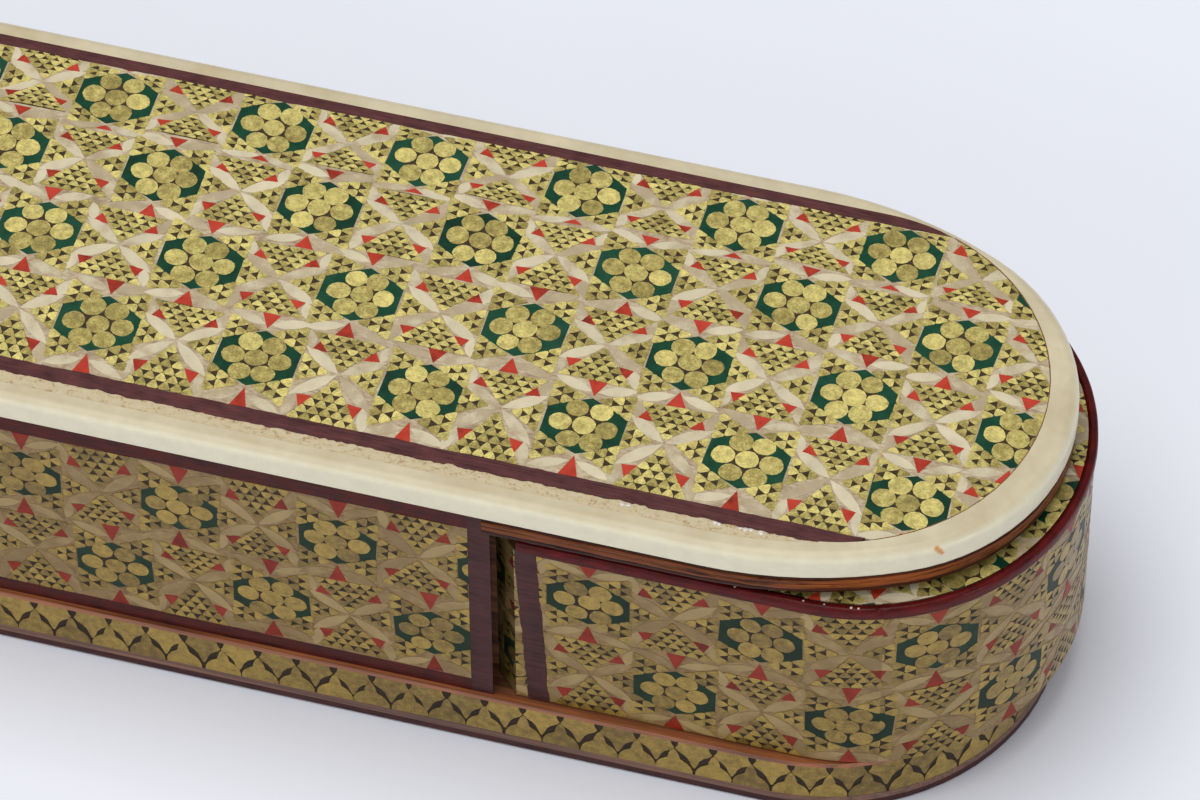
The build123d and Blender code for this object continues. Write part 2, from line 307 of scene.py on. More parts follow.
def brass_finish(name, bright, dull):
    """Sanded brass: dull and bright chips, fine scratches and small bright flecks."""
    f = Finish(name, 0.4, coat=0.2, coat_roughness=0.2, metallic=0.35, specular=0.35)
    specks = f.crumbs(0.14)
    mixed = f.sum(f.cloud(0.9, detail=4.0), (f.tone(), 0.45), (specks, 0.25))
    tint = f.shades(
        mixed, (0.08, times(dull, 0.5)), (0.36, times(dull, 0.9)), (0.6, bright), (0.92, times(bright, 1.45))
    )
    scratches = f.cloud(0.12, 0.9, 0.5, detail=4.0, uneven=0.7)
    rough = f.band(specks, 0.0, 1.0, 0.28, 0.5)
    return f.finish(tint, rough, f.sum(scratches, (specks, 0.6)), depth=0.022, strength=0.6)


def dyed_finish(name, dye):
    """Dyed wood, end grain showing as fine pores."""
    f = Finish(name, 0.42, coat=0.06, coat_roughness=0.18, specular=0.15)
    pores = f.cloud(0.18, uneven=0.7)
    mixed = f.sum(f.cloud(1.6), (f.tone(), 0.45), (pores, 0.7))
    tint = f.shades(mixed, (0.1, times(dye, 0.45)), (0.5, dye), (0.9, lighter(dye)))
    return f.finish(tint, f.spread(pores, 0.34, 0.52), pores, depth=0.02, strength=0.35)


def chip_bone_finish(name, bone, warm):
    """Leaves of bone and pale wood, from cream to a pinkish beige."""
    f = Finish(name, 0.4, coat=0.12, coat_roughness=0.18, specular=0.3)
    fibres = f.cloud(0.25, detail=4.0, uneven=0.65)
    mixed = f.sum(f.cloud(2.4), (f.tone(), 0.5), (fibres, 0.3))
    tint = f.shades(mixed, (0.1, times(warm, 0.85)), (0.35, warm), (0.55, bone), (0.95, lighter(bone)))
    return f.finish(tint, f.spread(fibres, 0.3, 0.46), fibres, depth=0.015, strength=0.3)


def joint_finish(name, glue):
    """Brown glue and dust between the chips."""
    f = Finish(name, 0.55, coat=0.05, coat_roughness=0.25, specular=0.2)
    dust = f.cloud(0.5, detail=4.0, uneven=0.7)
    tint = f.shades(dust, (0.3, times(glue, 0.4)), (0.55, glue), (0.8, times(glue, 2.0)))
    return f.finish(tint, None, dust, depth=0.02, strength=0.4)


def sheet_finish(name, sheet, bone):
    """Pale ground of the inlaid sheet, with a little brownish glue in its grain."""
    f = Finish(name, 0.45, coat=0.12, coat_roughness=0.2, specular=0.3)
    fibres = f.cloud(0.8, 0.3, 0.5, detail=5.0, uneven=0.65)
    stains = f.cloud(2.2, detail=4.0)
    tint = f.shades(f.sum(fibres, (stains, 0.8)), (0.22, times(sheet, 0.6)), (0.42, sheet), (0.75, bone))
    return f.finish(tint, f.spread(fibres, 0.38, 0.55), fibres, depth=0.02, strength=0.35)


# Drops of an orange stain near the lid's tip: place and reach, in millimetres
STAIN_DROPS = ((107.4, -19.6, 42.9, 0.45), (107.65, -19.45, 42.5, 0.5), (107.9, -19.35, 42.1, 0.4))
STAIN = shade(206, 140, 68)
# The edging's outer face is painted paler, as painted light, from the first of these heights down to the
# second, in metres
PAINTED_LIGHT_HEIGHTS = (43.46 * MM, 42.9 * MM)
# Place and reach of the painted highlight on the lid board's edge
PAINTED_HIGHLIGHT_EDGE = (101.0, -22.4, 38.7, 12.0)


def bone_edging_finish(look):
    """Glossy cream bone with soft warm clouds, an outer face painted paler as painted light, and one orange
    stain near the tip.
    """
    f = Finish("bone_edging", 0.4, coat=0.12, coat_roughness=0.12, specular=0.35)
    clouds = f.cloud(7.0, uneven=0.5)
    mottle = f.cloud(1.6, detail=4.0, uneven=0.6)
    marks = f.cloud(0.5, detail=4.0, uneven=0.7)
    mixed = f.sum(clouds, (mottle, 0.35))
    top = f.shades(mixed, (0.22, look.bone_shadow), (0.5, look.bone), (0.85, lighter(look.bone)))
    is_painted_light_face = f.band(f.height(), *PAINTED_LIGHT_HEIGHTS, 0.0, 1.0)
    # Painted light: the outer face takes the paler colour
    face = f.shades(mottle, (0.2, look.bone_face_painted_light), (0.8, times(look.bone_face_painted_light, 1.15)))
    tint = f.between(is_painted_light_face, top, face)
    tint = f.between(f.band(marks, 0.68, 0.82, 0.0, 0.25), tint, times(look.bone_shadow, 0.7))
    for drop in STAIN_DROPS:
        tint = f.between(f.spot(*drop), tint, STAIN)
    bumps = f.cloud(3.5, 2.0, 2.0, detail=4.0, uneven=0.6)
    return f.finish(tint, f.spread(mottle, 0.34, 0.46), bumps, depth=0.1, strength=0.3)


def dark_line_finish(name, dye, deep):
    """Dyed strip with its grain along the strip."""
    f = Finish(name, 0.5, coat=0.04, coat_roughness=0.2, specular=0.12)
    grain = f.cloud(5.0, 0.2, 0.5, detail=5.0, uneven=0.7)
    patches = f.cloud(2.4, 1.2, 2.4, detail=4.0)
    tint = f.shades(f.sum(grain, (patches, 0.7)), (0.3, deep), (0.55, dye), (0.85, times(dye, 1.5)))
    return f.finish(tint, f.spread(patches, 0.36, 0.55), grain, depth=0.04, strength=0.45)


def filler_finish(look):
    """Paste of glue, bone dust and brass filings."""
    f = Finish("speckled_filler", 0.5, coat=0.3, coat_roughness=0.2)
    crumbs = f.crumbs(0.2)
    clouds = f.cloud(1.2, 0.7, 0.7, detail=5.0, uneven=0.65)
    mixed = f.sum(clouds, (crumbs, 0.2))
    tint = f.shades(mixed, (0.25, look.filler_dark), (0.45, look.filler), (0.7, look.bone))
    return f.finish(tint, f.band(crumbs, 0.0, 1.0, 0.3, 0.6), f.sum(clouds, (crumbs, 0.5)), depth=0.06)


def bead_finish(look):
    """Dark red bead under glossy lacquer, dimpled so that it glints in places."""
    f = Finish("red_bead", 0.4, coat=0.14, coat_roughness=0.1, specular=0.08)
    clouds = f.cloud(2.2, 2.2, 0.8, detail=4.0)
    tint = f.shades(clouds, (0.3, times(look.bead, 0.45)), (0.55, look.bead), (0.8, times(look.bead, 1.5)))
    dimples = f.cloud(0.5, uneven=0.6)
    return f.finish(tint, f.spread(clouds, 0.34, 0.5), dimples, depth=0.12, strength=0.8)


def glue_and_glint_finish():
    """Clear hard glue that has run out of a joint, pale so that it also shows as painted glints."""
    f = Finish("glue_drops", 0.12, coat=1.0, coat_roughness=0.04)
    clouds = f.cloud(0.4)
    tint = f.shades(clouds, (0.3, shade(170, 156, 138)), (0.7, shade(226, 220, 208)))
    return f.finish(tint, None, clouds, depth=0.02, strength=0.3)


def wood_finish(name, light, dark, along=60.0, across=1.3, shine=0.12, rough=0.5):
    """Bare wood with its grain along the box, fine pores and a few darker streaks."""
    f = Finish(name, rough, coat=shine, coat_roughness=0.3)
    rings = f.cloud(along, across, across, detail=4.0, uneven=0.6, twist=0.4)
    pores = f.cloud(along / 6, 0.14, 0.14, uneven=0.7)
    wear = f.cloud(14.0, 9.0, 9.0, detail=4.0)
    mixed = f.sum(rings, (pores, 0.35), (wear, 0.4))
    tint = f.shades(mixed, (0.25, times(dark, 0.6)), (0.42, dark), (0.6, light), (0.85, lighter(light)))
    return f.finish(tint, f.spread(pores, rough - 0.08, rough + 0.14), pores)


def layered_edge_finish(name, light, dark):
    """Raw edge of a layered board under varnish: level streaks, brown stain, cracks and one painted
    highlight.
    """
    f = Finish(name, 0.4, coat=0.06, coat_roughness=0.12, specular=0.1)
    streaks = f.cloud(9.0, 9.0, 0.4, detail=4.0, uneven=0.6)
    stain = f.cloud(3.4, 3.4, 1.2, detail=4.0, uneven=0.6)
    cracks = f.cloud(6.0, 6.0, 0.22, detail=5.0, uneven=0.7, twist=0.5)
    tint = f.shades(f.sum(streaks, (stain, 0.9)), (0.25, dark), (0.45, light), (0.8, lighter(light)))
    # Painted highlight: a paler patch where the edge seems to catch the light
    tint = f.between(f.spot(*PAINTED_HIGHLIGHT_EDGE), tint, f.shades(streaks, (0.35, light), (0.6, times(light, 2.2))))
    tint = f.between(f.band(cracks, 0.56, 0.64, 0.0, 0.85), tint, times(dark, 0.22))
    return f.finish(tint, f.spread(streaks, 0.28, 0.46), stain, depth=0.08, strength=0.5)


finishes = {}


def finish_named(name, make, *details):
    """The finish of this name, made the first time that it is asked for."""
    if name not in finishes:
        finishes[name] = make(name, *details)
    return finishes[name]


# Each kind of chip, and the sheet under them: its finish and the settings that colour it
CHIP_FINISHES = (
    ("green_wood", dyed_finish, "green"),
    ("joint", joint_finish, "joint"),
    ("bone", chip_bone_finish, "bone", "bone_warm"),
    ("red_wood", dyed_finish, "red"),
    ("brass", brass_finish, "brass", "brass_dull"),
    ("sheet", sheet_finish, "sheet", "bone"),
)
KIND_SLOTS = {row[0]: slot for slot, row in enumerate(CHIP_FINISHES)}
GLUE_SLOT = len(CHIP_FINISHES)
# How far each kind stands proud of the sheet, in the same order
CHIP_RISE = (0.02, 0.026, 0.032, 0.036, 0.045)


def chip_finishes(look, place):
    """Finishes of the kinds of chip and of the sheet: on the lid, a side, or in the mouth's gap, where the
    darker copy is painted shade.
    """
    varnish = tuple(look.varnish)
    # The lid takes no tint; the sides take the varnish tint, which is partly painted shade; the gap takes a
    # darker copy, which is painted shade in the mouth's gap
    varnish_film_and_shade = {"lid": (1.0, 1.0, 1.0), "side": varnish, "gap": times(varnish, 0.4)}[place]
    made = []
    for name, make, *settings in CHIP_FINISHES:
        tints = [tuple(a * b for a, b in zip(getattr(look, setting), varnish_film_and_shade)) for setting in settings]
        made.append(finish_named(f"{place}_{name}", make, *tints))
    return made


def side_line_finish():
    look = bpy.context.scene.pen_box_edging
    return finish_named("side_line", dark_line_finish, look.side_line, look.side_line_deep)


def dress_node(node, material):
    """Gives a solid from the frame its finish, without touching its shape."""
    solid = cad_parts[node]
    solid.data.materials.clear()
    solid.data.materials.append(material)


# Flat outlines, as lists of (along, up) points in millimetres, anticlockwise

def next_points(outline):
    """Each point of a closed outline with the one that follows it."""
    return zip(outline, [*outline[1:], *outline[:1]])


def turned_area(outline):
    return sum(a[0] * b[1] - b[0] * a[1] for a, b in next_points(outline)) / 2


def anticlockwise(outline):
    return outline if turned_area(outline) > 0 else outline[::-1]


def on_way(here, there, share):
    """The point at this share of the way from one point to another."""
    return (here[0] + share * (there[0] - here[0]), here[1] + share * (there[1] - here[1]))


def keep_left(outline, start, end):
    """The part of an outline on the left of the line from start to end."""
    run = (end[0] - start[0], end[1] - start[1])
    sides = [run[0] * (y - start[1]) - run[1] * (x - start[0]) for x, y in outline]
    kept = []
    for (here, there), (near, away) in zip(next_points(outline), next_points(sides)):
        if near >= 0:
            kept.append(here)
        if near * away < 0:
            kept.append(on_way(here, there, near / (near - away)))
    return kept


def cut_to(outline, region):
    """The part of an outline inside a region with no hollows in its edge."""
    for start, end in next_points(region):
        outline = keep_left(outline, start, end)
        if len(outline) < 3:
            return []
    return outline


def rectangle(low_x, high_x, low_y, high_y):
    return [(low_x, low_y), (high_x, low_y), (high_x, high_y), (low_x, high_y)]


def hull(points):
    """Outline round these plan points, without points that lie on top of each other."""
    flat = [Vector((p[0], p[1])) for p in points]
    corners = [flat[i] for i in convex_hull_2d(flat)]
    apart = [c for i, c in enumerate(corners) if (c - corners[i - 1]).length > 0.02]
    return anticlockwise([tuple(c) for c in apart])


def plan_hull(*nodes):
    """Outline in plan round some solids, in millimetres."""
    points = []
    for node in nodes:
        points += [(v.co.x / MM, v.co.y / MM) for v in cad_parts[node].data.vertices]
    return hull(points)


def low(node):
    """The lowest corner of a solid's box, in millimetres."""
    return [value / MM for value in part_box(node)[0]]


def high(node):
    """The highest corner of a solid's box, in millimetres."""
    return [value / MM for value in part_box(node)[1]]


def high_y(node):
    """The solid's furthest reach from the middle of the box, to the front or the back."""
    return max(abs(low(node)[1]), abs(high(node)[1]))


def wave(x, y=0.0, z=0.0, drift=Vector()):
    """Smooth noise, from about -1 to 1. The same place always has the same value."""
    return noise.noise(Vector((x, y, z)) + drift)


def steps(start, end, count):
    """Evenly spaced places from start to end."""
    return [start + (end - start) * number / count for number in range(count + 1)]


# Surfaces that pieces are laid on

class Level:
    """A level surface at one height."""

    bent = False

    def __init__(self, height):
        self.height = height

    def put(self, along, up, proud):
        return (along, up, self.height + proud)


class Wall:
    """An upright surface that follows a path in plan. Its outer side is on the right of the path."""

    def __init__(self, path, bent=True):
        self.path = [Vector(p) for p in path]
        self.bent = bent
        self.marks = [0.0]
        runs = [b - a for a, b in zip(self.path, self.path[1:])]
        for run in runs:
            self.marks.append(self.marks[-1] + run.length)
        self.full = self.marks[-1]
        faces = [Vector((run.y, -run.x)) for run in runs]
        joined = [faces[0]] + [a + b for a, b in zip(faces, faces[1:])] + [faces[-1]]
        if (self.path[0] - self.path[-1]).length < 0.001:
            joined[0] = joined[-1] = faces[0] + faces[-1]
        self.outward = [face.normalized() for face in joined]

    def put(self, along, up, proud):
        number = min(max(bisect_right(self.marks, along) - 1, 0), len(self.path) - 2)
        share = (along - self.marks[number]) / (self.marks[number + 1] - self.marks[number])
        spot = self.path[number].lerp(self.path[number + 1], share)
        face = self.outward[number].lerp(self.outward[number + 1], min(max(share, 0.0), 1.0))
        spot = spot + face * proud
        return (spot.x, spot.y, up)


def open_path(outline, first, last):
    """The part of a closed outline from the corner nearest first round to the one nearest last."""
    def nearest(spot):
        def away(i):
            return (outline[i][0] - spot[0]) ** 2 + (outline[i][1] - spot[1]) ** 2
        return min(range(len(outline)), key=away)
    start = nearest(first)
    end = nearest(last)
    if end <= start:
        end += len(outline)
    return [outline[i % len(outline)] for i in range(start, end + 1)]


def side_path(left, right, y):
    """A straight path along the front, or back along the back, with its outer side on the right."""
    return [(left, y), (right, y)] if y < 0 else [(right, y), (left, y)]


def along_side(x, left, right, side):
    """How far a place lies along the path of the front (-1) or the back (1)."""
    return x - left if side < 0 else right - x


# Meshes of many small closed pieces

SUNK = -0.3           # how deep a piece reaches into what it lies on
EVEN_TONE = 0.5       # the tone of pieces that don't differ from each other
BEND_STEP = 1.5       # a chip on a bent surface is cut at each such distance, to follow the bend
FAR = 1e9


class Pieces:
    """Collects small closed pieces into one mesh."""

    def __init__(self):
        self.points = []
        self.faces = []
        self.slots = []
        self.tones = []

    def face(self, corners, slot, tone):
        self.faces.append(corners)
        self.slots.append(slot)
        self.tones.append(tone)

    def chip(self, surface, outline, slot, top, under=SUNK, tone=EVEN_TONE):
        """A flat chip with upright sides, bent with the surface that it lies on."""
        slices = [(-FAR, FAR)]
        if surface.bent:
            reach = [p[0] / BEND_STEP for p in outline]
            lines = [line * BEND_STEP for line in range(ceil(min(reach)), floor(max(reach)) + 1)]
            outline = with_crossings(outline, lines)
            slices = list(zip([-FAR, *lines], [*lines, FAR]))
        start = len(self.points)
        count = len(outline)
        for height in (under, top):
            self.points += [surface.put(s, t, height) for s, t in outline]
        for left, right in slices:
            part = [i for i, p in enumerate(outline) if left - 1e-6 <= p[0] <= right + 1e-6]
            if len(part) >= 3:
                self.face([start + i for i in reversed(part)], slot, tone)
                self.face([start + count + i for i in part], slot, tone)
        for i in range(count):
            j = (i + 1) % count
            self.face([start + i, start + j, start + count + j, start + count + i], slot, tone)

    def sweep(self, rings, slot=0):
        """Skins a row of rings that all have the same number of points."""
        start = len(self.points)
        count = len(rings[0])
        for ring in rings:
            self.points += ring
        end = start + (len(rings) - 1) * count
        for here in range(start, end, count):
            there = here + count
            for i in range(count):
                j = (i + 1) % count
                self.face([here + i, there + i, there + j, here + j], slot, EVEN_TONE)
        self.face([start + i for i in range(count)], slot, EVEN_TONE)
        self.face([end + i for i in reversed(range(count))], slot, EVEN_TONE)

    def settle(self, name, materials, body, slot, *nodes, smooth_under=25.0):
        """Makes one object of the pieces, tied to its body, and hides the solids it stands for.

        Edges that turn by more than smooth_under degrees stay sharp.
        """
        mesh = bpy.data.meshes.new(name)
        mesh.from_pydata([(x * MM, y * MM, z * MM) for x, y, z in self.points], [], self.faces)
        for material in materials:
            mesh.materials.append(material)
        mesh.polygons.foreach_set("material_index", self.slots)
        tones = mesh.attributes.new("tone", "FLOAT", "FACE")
        tones.data.foreach_set("value", self.tones)
        mesh.polygons.foreach_set("use_smooth", [True] * len(self.faces))
        mesh.set_sharp_from_angle(angle=radians(smooth_under))
        mesh.validate()
        piece = bpy.data.objects.new(name, mesh)
        bpy.context.scene.collection.objects.link(piece)
        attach(piece, body)
        if nodes:
            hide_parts(*nodes)


def with_crossings(outline, lines):
    """The outline with a point added wherever it crosses one of these upright lines."""
    for line in lines:
        added = []
        for here, there in next_points(outline):
            added.append(here)
            if (here[0] - line) * (there[0] - line) < -1e-9:
                share = (line - here[0]) / (there[0] - here[0])
                added.append((line, on_way(here, there, share)[1]))
        outline = added
    return outline


# The inlay's pattern: flower cells and cross cells take turns along each row.
# Its sizes are in millimetres, measured on the lid.

CELL_HALF = 4.535             # half the width that the cells are drawn at
FLOWER_EDGE = 3.9             # half the height of a flower's green field
FLOWER_REACH = 6.05           # half the height that a flower cell is drawn at
CROSS_REACH = 4.85            # the same for a cross cell
FLOWER_EXTRA = 0.6            # how much further a flower cell reaches up and down than its row
LEAF_POINTS = 4               # steps along each side of a leaf
DISC_POINTS = 14              # corners of a disc
DISC_STRAY = 0.09             # how far a disc may lie off its place
SWELL = 0.32                  # how far a small triangle's sides swell into the gaps
LEAN = 0.035                  # how far a cell may be turned, as a share
STRAY = (0.14, 0.12)          # how far a cell may lie off its place
WANDER_SIZE = 8.0             # distance over which the pattern wanders to and fro
ELSEWHERE = Vector((41.3, 17.9, 5.6))     # so that it wanders differently up and down
SMALLEST = 0.03               # area of the smallest chip that is kept
RISE_SPREAD = 0.003           # how unevenly the chips stand
XY = (0, 1)


def leaf(start, end, width):
    """A slim leaf from start to end."""
    run = (end[0] - start[0], end[1] - start[1])
    size = (run[0] ** 2 + run[1] ** 2) ** 0.5
    across = (-run[1] / size * width / 2, run[0] / size * width / 2)
    one, other = [start], [end]
    for i in range(1, LEAF_POINTS):
        share = i / LEAF_POINTS
        bulge = sin(pi * share) ** 0.75
        for way, foot, side in ((1, start, one), (-1, end, other)):
            side.append(tuple(foot[k] + way * run[k] * share - way * across[k] * bulge for k in XY))
    return one + other


def small_triangles(first, second, third, rows, gap):
    """The small triangles that make up a large one."""
    shapes = []
    for i in range(rows):
        for j in range(rows - i):
            corners = [
                [first[k] + (second[k] - first[k]) * a / rows + (third[k] - first[k]) * b / rows for k in XY]
                for a, b in ((i, j), (i + 1, j), (i, j + 1))
            ]
            shapes.append(full_triangle(corners, gap))
    return shapes


def full_triangle(corners, gap):
    """A small piece of brass: its sides swell into the gaps beside it, up to the next pieces."""
    middle = [sum(c[k] for c in corners) / 3 for k in XY]
    shape = []
    for here, there in next_points(corners):
        swell = [((here[k] + there[k]) / 2 - middle[k]) * SWELL for k in XY]
        shape.append(here)
        for share in (SWELL / 2, 1 - SWELL / 2):
            shape.append([here[k] + (there[k] - here[k]) * share + swell[k] for k in XY])
    return [tuple(middle[k] + (p[k] - middle[k]) * (1 - gap) for k in XY) for p in shape]


def brass_disc(x, y, radius, chance):
    """A slightly flat disc, out of round as hand-cut wire is."""
    radius *= chance.uniform(0.95, 1.04)
    flat = chance.uniform(0.88, 0.97)
    start = chance.uniform(0, 1)
    disc = []
    for n in range(DISC_POINTS):
        turn = start + n * 2 * pi / DISC_POINTS
        reach = radius * chance.uniform(0.95, 1.03)
        disc.append((x + reach * cos(turn), y + reach * flat * sin(turn)))
    return disc


def cluster(corners, rows, look):
    """Small brass triangles in a bed of brown glue."""
    triangles = small_triangles(*corners, rows, look.chip_gap)
    return [("joint", list(corners))] + [("brass", shape) for shape in triangles]


def flower_cell(above, below, look, chance):
    """A flower cell: seven brass discs on a green field, with triangles, leaves and red tips round it."""
    edge = FLOWER_EDGE
    shapes = [
        ("green_wood", [(0, edge), (-4.4, 2.0), (-4.4, -2.0), (0, -edge), (4.4, -2.0), (4.4, 2.0)]),
        ("joint", [(2.7 * cos(k * pi / 4), 2.35 * sin(k * pi / 4)) for k in range(8)]),
    ]
    for k in range(7):
        reach = look.disc_spacing / MM if k else 0.0
        x = reach * cos(k * pi / 3) + chance.uniform(-DISC_STRAY, DISC_STRAY)
        y = reach * 0.92 * sin(k * pi / 3) + chance.uniform(-DISC_STRAY, DISC_STRAY)
        shapes.append(("brass", brass_disc(x, y, look.disc_width / MM / 2, chance)))
    for way_x in (1, -1):
        for way_y, half in ((1, above), (-1, below)):
            grow = (half - edge) / (FLOWER_REACH - edge)

            def corner(x, y):
                return (way_x * x, way_y * (y if y < edge else edge + (y - edge) * grow))
            shapes += cluster((corner(4.5, 1.75), corner(0.75, 3.85), corner(4.45, 5.2)), 3, look)
            shapes.append(("bone", leaf(corner(0.3, 4.65), corner(4.6, 5.8), 1.3)))
    for way_y, half in ((1, above), (-1, below)):
        foot = way_y * (half - 0.03)
        shapes.append(("red_wood", [(-1.05, foot), (1.05, foot), (0, way_y * (edge + 0.3))]))
    return shapes


def cross_cell(above, below, look, chance):
    """A cross cell: two large brass triangles point to point, two small ones, and a cross of leaves."""
    shapes = []
    for way_y, half in ((1, above), (-1, below)):
        stretch = half / CROSS_REACH
        foot = way_y * (half - 0.08)
        shapes += cluster(((0.0, way_y * 0.45 * stretch), (3.95, foot), (-3.95, foot)), 6, look)
        for way_x in (1, -1):
            def spot(x, y):
                return (way_x * x, way_y * y * stretch)
            shapes.append(("bone", leaf(spot(0.1, 0.05), spot(4.6, 2.8), 1.5)))
            shapes.append(("bone", leaf(spot(3.8, 2.5), spot(4.5, 4.95), 1.3)))
            shapes.append(("red_wood", [spot(2.05, 2.45), spot(3.75, 2.6), spot(3.05, 3.85)]))
    for way_x in (1, -1):
        shapes += cluster(((way_x * 4.45, 1.9), (way_x * 4.45, -1.9), (way_x * 1.25, 0.0)), 3, look)
    return shapes


class Row(NamedTuple):
    """One row of cells. Where it ends at the sheet's edge, all its cells reach equally far."""

    middle: float             # height of its middle
    above: float              # reach above the middle
    below: float
    flower: float             # place of one flower
    pitch: float              # distance from flower to flower
    ends_above: bool = False
    ends_below: bool = False

    def reaches(self, is_flower):
        extra = FLOWER_EXTRA if is_flower else -FLOWER_EXTRA
        return (
            self.above + (0 if self.ends_above else extra),
            self.below + (0 if self.ends_below else extra),
        )


def lay_inlay(pieces, surface, region, rows, look, seed):
    """Lays rows of cells on a surface and cuts them to a region."""
    chance = Random(seed)

    def either_way(reach):
        return chance.uniform(-reach, reach)
    drift = Vector((chance.uniform(0, 90), chance.uniform(0, 90), 0.0))
    wander = look.wander / MM
    left = min(p[0] for p in region)
    right = max(p[0] for p in region)
    for row in rows:
        half = row.pitch / 2
        widen = half / 2 / CELL_HALF
        for number in range(floor((left - row.flower) / half) - 1, ceil((right - row.flower) / half) + 2):
            is_flower = number % 2 == 0
            make = flower_cell if is_flower else cross_cell
            lean = either_way(LEAN)
            shift = [either_way(reach) for reach in STRAY]
            middle = row.flower + number * half
            for kind, shape in make(*row.reaches(is_flower), look, chance):
                tone = chance.random()
                loose = 0.045 if kind in ("brass", "red_wood") else 0.06
                nudge = (either_way(loose), either_way(loose))
                wide = 1.0 if len(shape) == DISC_POINTS else widen
                laid = []
                for x, y in shape:
                    s = middle + x * wide - y * lean + shift[0] + nudge[0]
                    t = row.middle + y + x * lean + shift[1] + nudge[1]
                    spot = Vector((s, t, 0.0)) / WANDER_SIZE + drift
                    laid.append((s + noise.noise(spot) * wander, t + noise.noise(spot + ELSEWHERE) * wander))
                laid = cut_to(anticlockwise(laid), region)
                if len(laid) >= 3 and turned_area(laid) > SMALLEST:
                    slot = KIND_SLOTS[kind]
                    top = CHIP_RISE[slot] + either_way(RISE_SPREAD)
                    pieces.chip(surface, laid, slot, top, tone=tone)


# Inlaid sheets

# Each sheet of the lid and how far its pattern is shifted across the box
LID_SHEETS = {"lid_inlay_middle": 0.0, "lid_inlay_mouth_end": -1.1, "lid_inlay_closed_end": 0.5}
SIDES = (("front", -1), ("back", 1))
# Places along the box of one flower on the front, on the back and beside the head's shoulder
SIDE_FLOWERS = {"front": 41.9, "back": 46.0}
FLOWER_BY_SHOULDER = 70.2
# Painted shadow: the dark strip stands for the shadow under the bead's overhang
BEAD_SHADOW_STRIP = 0.45             # height of the dark strip under the bead


def lid_rows(shift):
    """Rows of the lid's pattern from back to front, as measured on it."""
    return [
        Row(18.5 + shift, 4.6 - shift, 4.3, 94.1, 18.12, ends_above=True),
        Row(8.8 + shift, 5.0, 5.5, 84.9, 18.3),
        Row(-2.2 + shift, 5.5, 5.7, 93.8, 18.6),
        Row(-13.6 + shift, 5.7, 7.1 + shift, 84.8, 18.4, ends_below=True),
    ]


def wall_rows(bottom, top, middles, flowers, pitches):
    """The two rows of cells on an upright sheet, upper one first."""
    upper, lower = middles
    between = (upper + lower) / 2
    return [
        Row(upper, top - upper, upper - between, flowers[0], pitches[0], ends_above=True),
        Row(lower, between - lower, lower - bottom, flowers[1], pitches[1], ends_below=True),
    ]


def head_rows(bottom, top, flower, step=9.9):
    return wall_rows(bottom, top, (28.4, 15.4), (flower, flower + step), (19.5, 19.5))


class PENBOX_OT_lid_inlay(bpy.types.Operator):
    """Lay the three inlaid sheets on the lid"""

    bl_idname = "penbox.lid_inlay"
    bl_label = "Lid inlay"

    def execute(self, context):
        look = context.scene.pen_box_inlay
        drop = look.sheet_drop / MM
        finish = [*chip_finishes(look, "lid"), finish_named("lid_glue_line", joint_finish, look.glue)]
        for node, shift in LID_SHEETS.items():
            pieces = Pieces()
            outline = plan_hull(node)
            level = high(node)[2] - drop
            pieces.chip(Level(0.0), outline, KIND_SLOTS["sheet"], level, low(node)[2])
            surface = Level(level)
            lay_inlay(pieces, surface, outline, lid_rows(shift), look, node)
            if node != "lid_inlay_middle":
                lay_glue_line(pieces, surface, outline, drop - 0.012)
            pieces.settle(f"{node}_chips", finish, "sleeve", "inlay", node)
        return {"FINISHED"}


def lay_glue_line(pieces, surface, outline, rise):
    """The thin brown line of glue between the round end of the field and the bone."""
    field = plan_hull("lid_front_line", "lid_back_line", "lid_inlay_middle")
    near_y = min(p[1] for p in field)
    far_y = max(p[1] for p in field)
    radius = (far_y - near_y) / 2
    tip = max(abs(p[0]) for p in outline)
    way = 1 if outline[0][0] > 0 else -1
    centre = Vector((way * (tip - radius), (near_y + far_y) / 2))
    for here, there in next_points(outline):
        if abs(here[0] - there[0]) > 0.001 and abs(here[1] - there[1]) > 0.001:
            inner = []
            for point in (there, here):
                away = (Vector(point) - centre).normalized()
                width = 0.14 + 0.06 * wave(point[0], point[1], 2.0)
                inner.append(tuple(Vector(point) - away * width))
            pieces.chip(surface, anticlockwise([here, there, *inner]), GLUE_SLOT, rise)


def inlaid_wall(node, surface, region, rows, body, look, place="side"):
    """Chips on one upright sheet. The solid stays and is the ground under them."""
    *chips, sheet = chip_finishes(look, place)
    pieces = Pieces()
    lay_inlay(pieces, surface, region, rows, look, node)
    pieces.settle(f"{node}_chips", chips, body, "inlay")
    dress_node(node, sheet)


class PENBOX_OT_sleeve_inlay(bpy.types.Operator):
    """Lay the inlay on the sleeve's two sides and closed end"""

    bl_idname = "penbox.sleeve_inlay"
    bl_label = "Sleeve inlay"

    def execute(self, context):
        look = context.scene.pen_box_inlay
        for word, side in SIDES:
            node = f"{word}_inlay"
            left, near, bottom = low(node)
            right, away, top = high(node)
            flower = along_side(SIDE_FLOWERS[word], left, right, side)
            rows = wall_rows(bottom, top, (30.4, 17.5), (flower, flower + 10.4), (18.1, 18.3))
            surface = Wall(side_path(left, right, near if side < 0 else away), bent=False)
            inlaid_wall(node, surface, rectangle(0, right - left, bottom, top), rows, "sleeve", look)
        node = "closed_end_inlay"
        _, near, bottom = low(node)
        right, away, top = high(node)
        surface = Wall(open_path(plan_hull(node), (right, away), (right, near)))
        rows = wall_rows(bottom, top, (30.6, 17.3), (7.0, 16.2), (18.2, 18.2))
        inlaid_wall(node, surface, rectangle(0, surface.full, bottom, top), rows, "sleeve", look)
        return {"FINISHED"}


